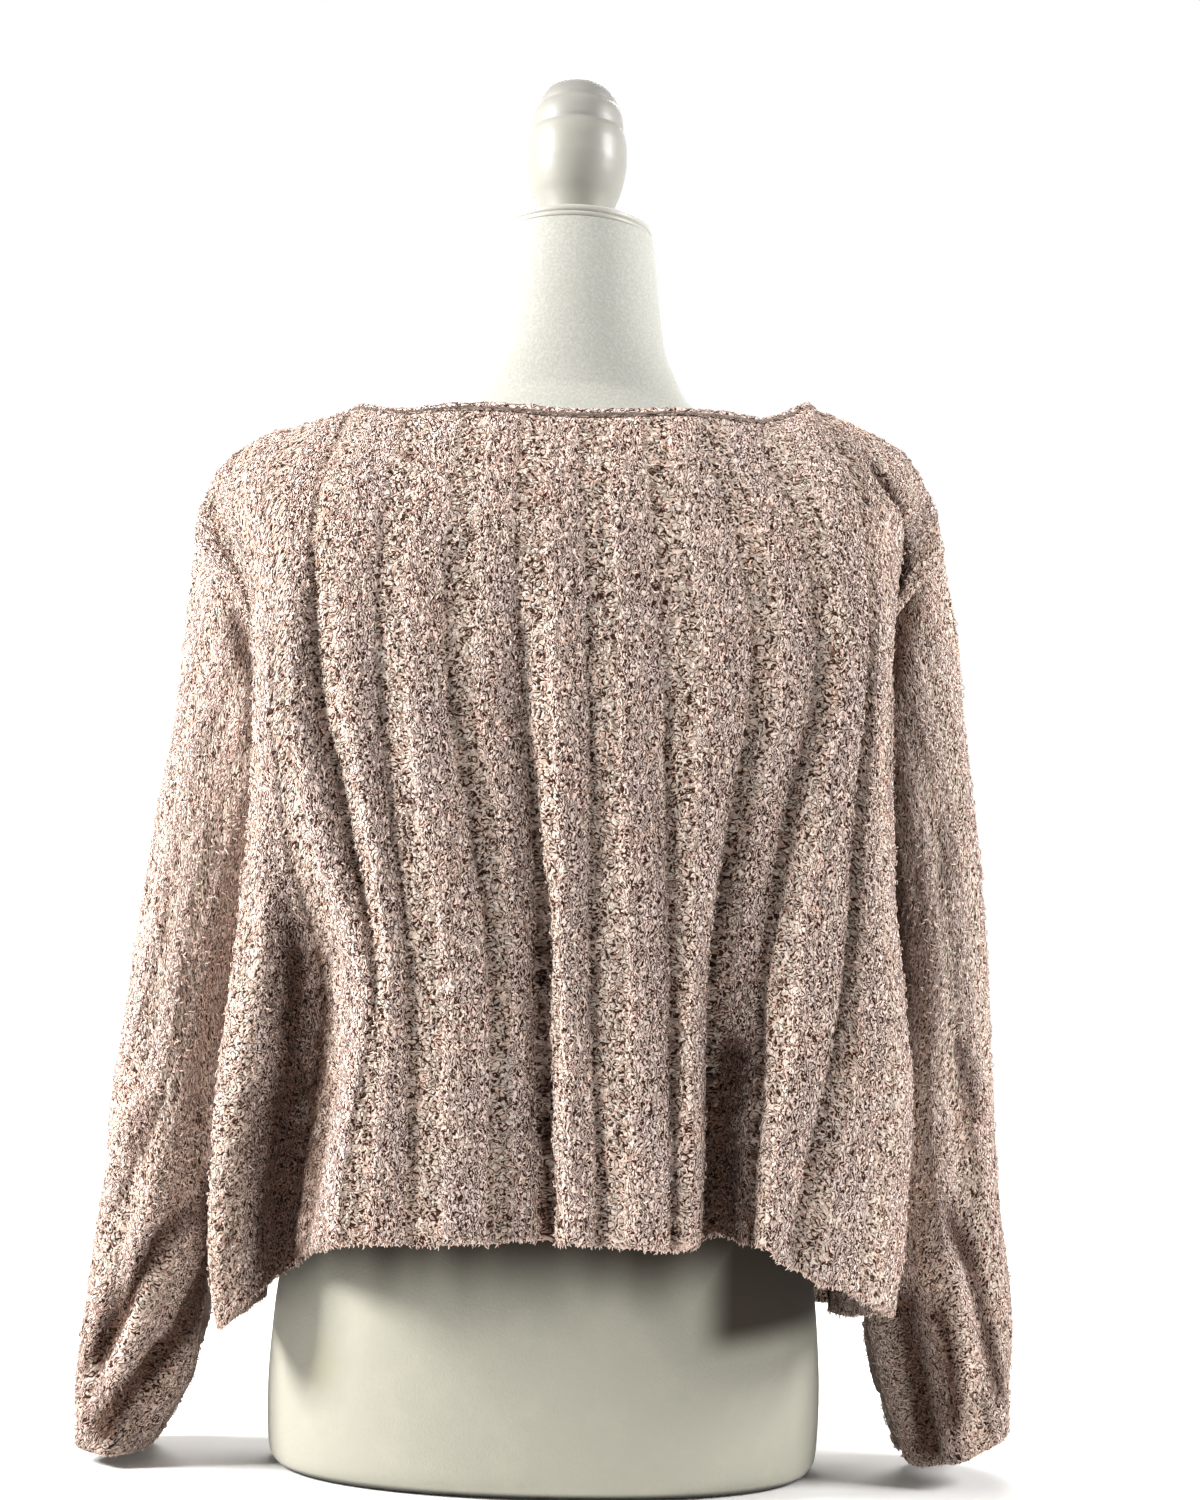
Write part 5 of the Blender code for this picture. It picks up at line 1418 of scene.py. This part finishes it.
# ------------------------------------------------------------------ everything together
def build_cloth():
    knit = knit_material()
    yarn = loop_material()
    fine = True
    back = make_panel("cloth_back", False, 318, 108, 162, 1, knit)
    front = make_panel("cloth_front", True, 300, 96, 144, 2, knit)
    left = make_sleeve("cloth_sleeve_left", SLEEVE_LEFT, 0, (0.10, 0.16, 0.50, 0.62), 3, knit)
    right = make_sleeve("cloth_sleeve_right", SLEEVE_RIGHT, 2, (0.05, 0.08, 0.28, 0.34), 4, knit)

    # pieces that share a seam share its normals, so their walls meet
    reach = 12
    for end, number in ((left, 0), (right, -1)):
        cut = {}
        for key, p in (("back", back), ("front", front)):
            low = p["cells_below"]
            cut[key] = (p["t"][low:], p["normals"][low:, number])
        loop_t = end["t"]
        b = resample(cut["back"][1], cut["back"][0], loop_t)
        f = resample(cut["front"][1], cut["front"][0], loop_t)
        half = len(loop_t) - 1
        body = np.concatenate([b, f[1:-1][::-1]])
        own = end["normals"][0]
        shared = body + own
        # at the underarm and the shoulder point the two panels agree as well
        shared[0] = b[0] + f[0] + own[0]
        shared[half] = b[-1] + f[-1] + own[half]
        shared /= np.linalg.norm(shared, axis=1)[:, None]
        blend_border(end["normals"], slice(None), shared, reach, 0, 0)
        ring_back = shared[: half + 1]
        ring_front = np.concatenate([[shared[0]], shared[half + 1 :][::-1], [shared[half]]])
        for p, ring in ((back, ring_back), (front, ring_front)):
            low = p["cells_below"]
            blend_border(p["normals"], slice(low, None), resample(ring, loop_t, p["t"][low:]), reach, 1, 0 if number == 0 else 1)
    # side seams below the underarm, and the shoulder seams
    for number in (0, -1):
        lb, lf = back["cells_below"], front["cells_below"]
        tb, tf = back["t"][: lb + 1], front["t"][: lf + 1]
        nb, nf = back["normals"][: lb + 1, number], front["normals"][: lf + 1, number]
        grid = np.linspace(0, UNDERARM_T, 80)
        shared = resample(nb, tb, grid) + resample(nf, tf, grid)
        shared /= np.linalg.norm(shared, axis=1)[:, None]
        blend_border(back["normals"], slice(0, lb), resample(shared, grid, tb)[:-1], reach, 1, 0 if number == 0 else 1)
        blend_border(front["normals"], slice(0, lf), resample(shared, grid, tf)[:-1], reach, 1, 0 if number == 0 else 1)
    for low, high in ((-HALF_FLAT, -NECK_HALF), (NECK_HALF, HALF_FLAT)):
        grid = np.linspace(low, high, 80)
        shared = resample(back["normals"][-1], back["a"], grid) + resample(front["normals"][-1], front["a"], grid)
        shared /= np.linalg.norm(shared, axis=1)[:, None]
        for p in (back, front):
            inside = np.where((p["a"] >= low - 1e-9) & (p["a"] <= high + 1e-9))[0]
            cols = slice(inside[0], inside[-1] + 1)
            blend_border(p["normals"], cols, resample(shared, grid, p["a"][cols]), reach, 0, 1)

    made = []
    jobs = (
        (back, finish_panel, "sweater_back", 6400, 1500, 0, False, "loops_back"),
        (front, finish_panel, "sweater_front", 3600, 1100, 0, False, "loops_front"),
        (left, finish_sleeve, "sleeve_left", 2600, 560, -1, True, "loops_sleeve_left"),
        (right, finish_sleeve, "sleeve_right", 2600, 560, -1, True, "loops_sleeve_right"),
    )
    for p, finisher, node, loops, ends, row, wrap, loops_name in jobs:
        obj, outside, fabric, fields = finisher(p)
        normals = p["normals"]
        fuzz = yarn_loops(loops_name, outside, normals, fabric, fields, loops, ends, row, 1, 500 + p["seed"], yarn, wrap)
        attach(obj, "root")
        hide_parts(node)
        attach(fuzz, "root")
        area = area_of(p["middle"], wrap)
        if wrap:
            flat = (round(float(p["perimeter"].max()), 3), round(float(p["length"]), 3))
        else:
            flat = (2 * HALF_FLAT, round(float(p["run"][-1]), 3))
        made.append((obj, fuzz, flat, area, node))
    band, crest, out, rise, run, around = make_band(knit)
    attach(band, "root")
    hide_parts("neck_band")
    for obj, fuzz, flat, area, node in made:
        cut = min(area, flat[0] * flat[1])
        print("sheet", obj.name, "flat", flat, "area", round(area, 4), len(obj.data.polygons), len(fuzz.data.polygons))
    return made


def build_form():
    jersey = jersey_material()
    torso = lathe("form_body", form_rings(), jersey)
    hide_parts("form_torso")
    foot = (NECK_TOP - NECK_FROM) / math.cos(NECK_LEAN)
    cap_base = foot + GAP
    finial_base = foot + CAP[-1][1] + 2 * GAP
    cap_finish = moulded_material("form_cap_shell", (0.510, 0.502, 0.455), (0.480, 0.472, 0.428), 0.40, 0.05, 0.0, 0.003, cap_base)
    cap = lathe("form_cap_turned", turned_rings(dense_profile(CAP_TURN, 46), cap_base), cap_finish)
    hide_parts("form_neck_cap")
    finial_finish = moulded_material("form_finial_lacquer", (0.335, 0.331, 0.306), (0.365, 0.361, 0.322), 0.40, 0.08, 0.004, 0.064, finial_base)
    finial = lathe("form_finial_turned", turned_rings(dense_profile(FINIAL + ((0.0030, FINIAL_TOP),), 110), finial_base),
                   finial_finish, neck_axis(finial_base + FINIAL_TOP + 0.0001))
    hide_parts("form_finial")
    for obj in (torso, cap, finial):
        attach(obj, "root")
    return torso, cap, finial


def build_stage():
    made, n, shader = principled("floor_paper", 0.95, specular=0.1)
    at = n.new("ShaderNodeTexCoord").outputs["Object"]
    pale = n.mix_colour(n.noise(at, 0.7, 2.0), (0.955, 0.955, 0.950), (0.965, 0.965, 0.962))
    # painted shade: the floor goes grey toward the camera side, in front of the form, so it throws less light back up
    # onto the knit and the form
    toward = n.range(n.new("ShaderNodeSeparateXYZ", {0: at}).outputs[1], -0.75, -0.12)
    n.put(shader.inputs["Base Color"], n.mix_colour(toward, (0.460, 0.460, 0.455), pale))
    w = 2 * math.pi * np.arange(96) / 96
    ring = np.stack([FLOOR_RADIUS * np.cos(w), FLOOR_RADIUS * np.sin(w), np.full(96, -0.0004)], axis=1)
    points = np.concatenate([ring, [[0.0, 0.0, -0.0004]]])
    k = np.arange(96)
    floor = make_mesh("floor_sheet", points, np.zeros((0, 4), int), np.stack([k, (k + 1) % 96, np.full(96, 96)], axis=1), finish=made)

    world = bpy.data.worlds.new("studio")
    bpy.context.scene.world = world
    world.use_nodes = True
    n = Nodes(world.node_tree)
    sky = world.node_tree.nodes["Background"]
    sky.inputs[0].default_value = (1.0, 1.0, 1.0, 1.0)
    # a white wall behind and to the sides, dimmer overhead and toward the side the
    # picture is taken from
    toward = n.new("ShaderNodeSeparateXYZ", {0: n.new("ShaderNodeTexCoord").outputs["Generated"]})
    overhead = n.range(toward.outputs[2], 0.21, 0.52, 1.0, WORLD_ABOVE)
    ahead = n.range(toward.outputs[1], -0.65, 0.10, WORLD_AHEAD, 1.0)
    n.put(sky.inputs[1], n.math("MULTIPLY", overhead, ahead))

    def area(name, place, target, size, power, colour):
        light = bpy.data.lights.new(name, "AREA")
        light.shape, light.size, light.size_y = "RECTANGLE", size[0], size[1]
        light.energy, light.color = power, colour
        obj = bpy.data.objects.new(name, light)
        bpy.context.scene.collection.objects.link(obj)
        z = np.asarray(place, float) - np.asarray(target, float)
        z /= np.linalg.norm(z)
        x = np.cross((0.0, 0.0, 1.0), z)
        x /= np.linalg.norm(x)
        y = np.cross(z, x)
        obj.matrix_world = Matrix([[x[0], y[0], z[0], place[0]], [x[1], y[1], z[1], place[1]],
                                   [x[2], y[2], z[2], place[2]], [0, 0, 0, 1]])
        obj.visible_camera = False

    for row in LIGHTS:
        area(*row)

    camera = bpy.data.cameras.new("camera")
    camera.sensor_fit, camera.sensor_width, camera.lens = "AUTO", 36.0, 86.4
    camera.clip_start, camera.clip_end = 0.05, 200.0
    obj = bpy.data.objects.new("camera", camera)
    bpy.context.scene.collection.objects.link(obj)
    obj.matrix_world = (Matrix.Translation((0.024, -2.20, 0.437)) @ Matrix.Rotation(math.radians(90), 4, "X")
                        @ Matrix.Rotation(math.radians(1.53), 4, "Z"))
    bpy.context.scene.camera = obj
    bpy.context.scene.view_settings.view_transform = "Standard"


WORLD_ABOVE, WORLD_AHEAD = 0.25, 0.30
FLOOR_RADIUS = 1.7
# name, place, target, size, power, colour
LIGHTS = (
    ("key", (-2.4, -0.5, 1.8), (0.0, 0.0, 0.38), (0.9, 0.9), 180.0, (1.0, 0.975, 0.945)),
    ("fill", (2.4, -0.35, 1.8), (0.0, 0.0, 0.38), (1.0, 1.0), 84.0, (1.0, 0.985, 0.965)),
    ("rim", (0.2, 2.2, 2.2), (0.0, 0.5, 0.20), (1.3, 1.3), 60.0, (1.0, 0.99, 0.97)),
)

build_stage()
build_form()
build_cloth()
shown = [o for o in bpy.context.scene.objects if o.type == "MESH" and not o.hide_render]
print("triangles", sum(sum(len(p.vertices) - 2 for p in o.data.polygons) for o in shown))
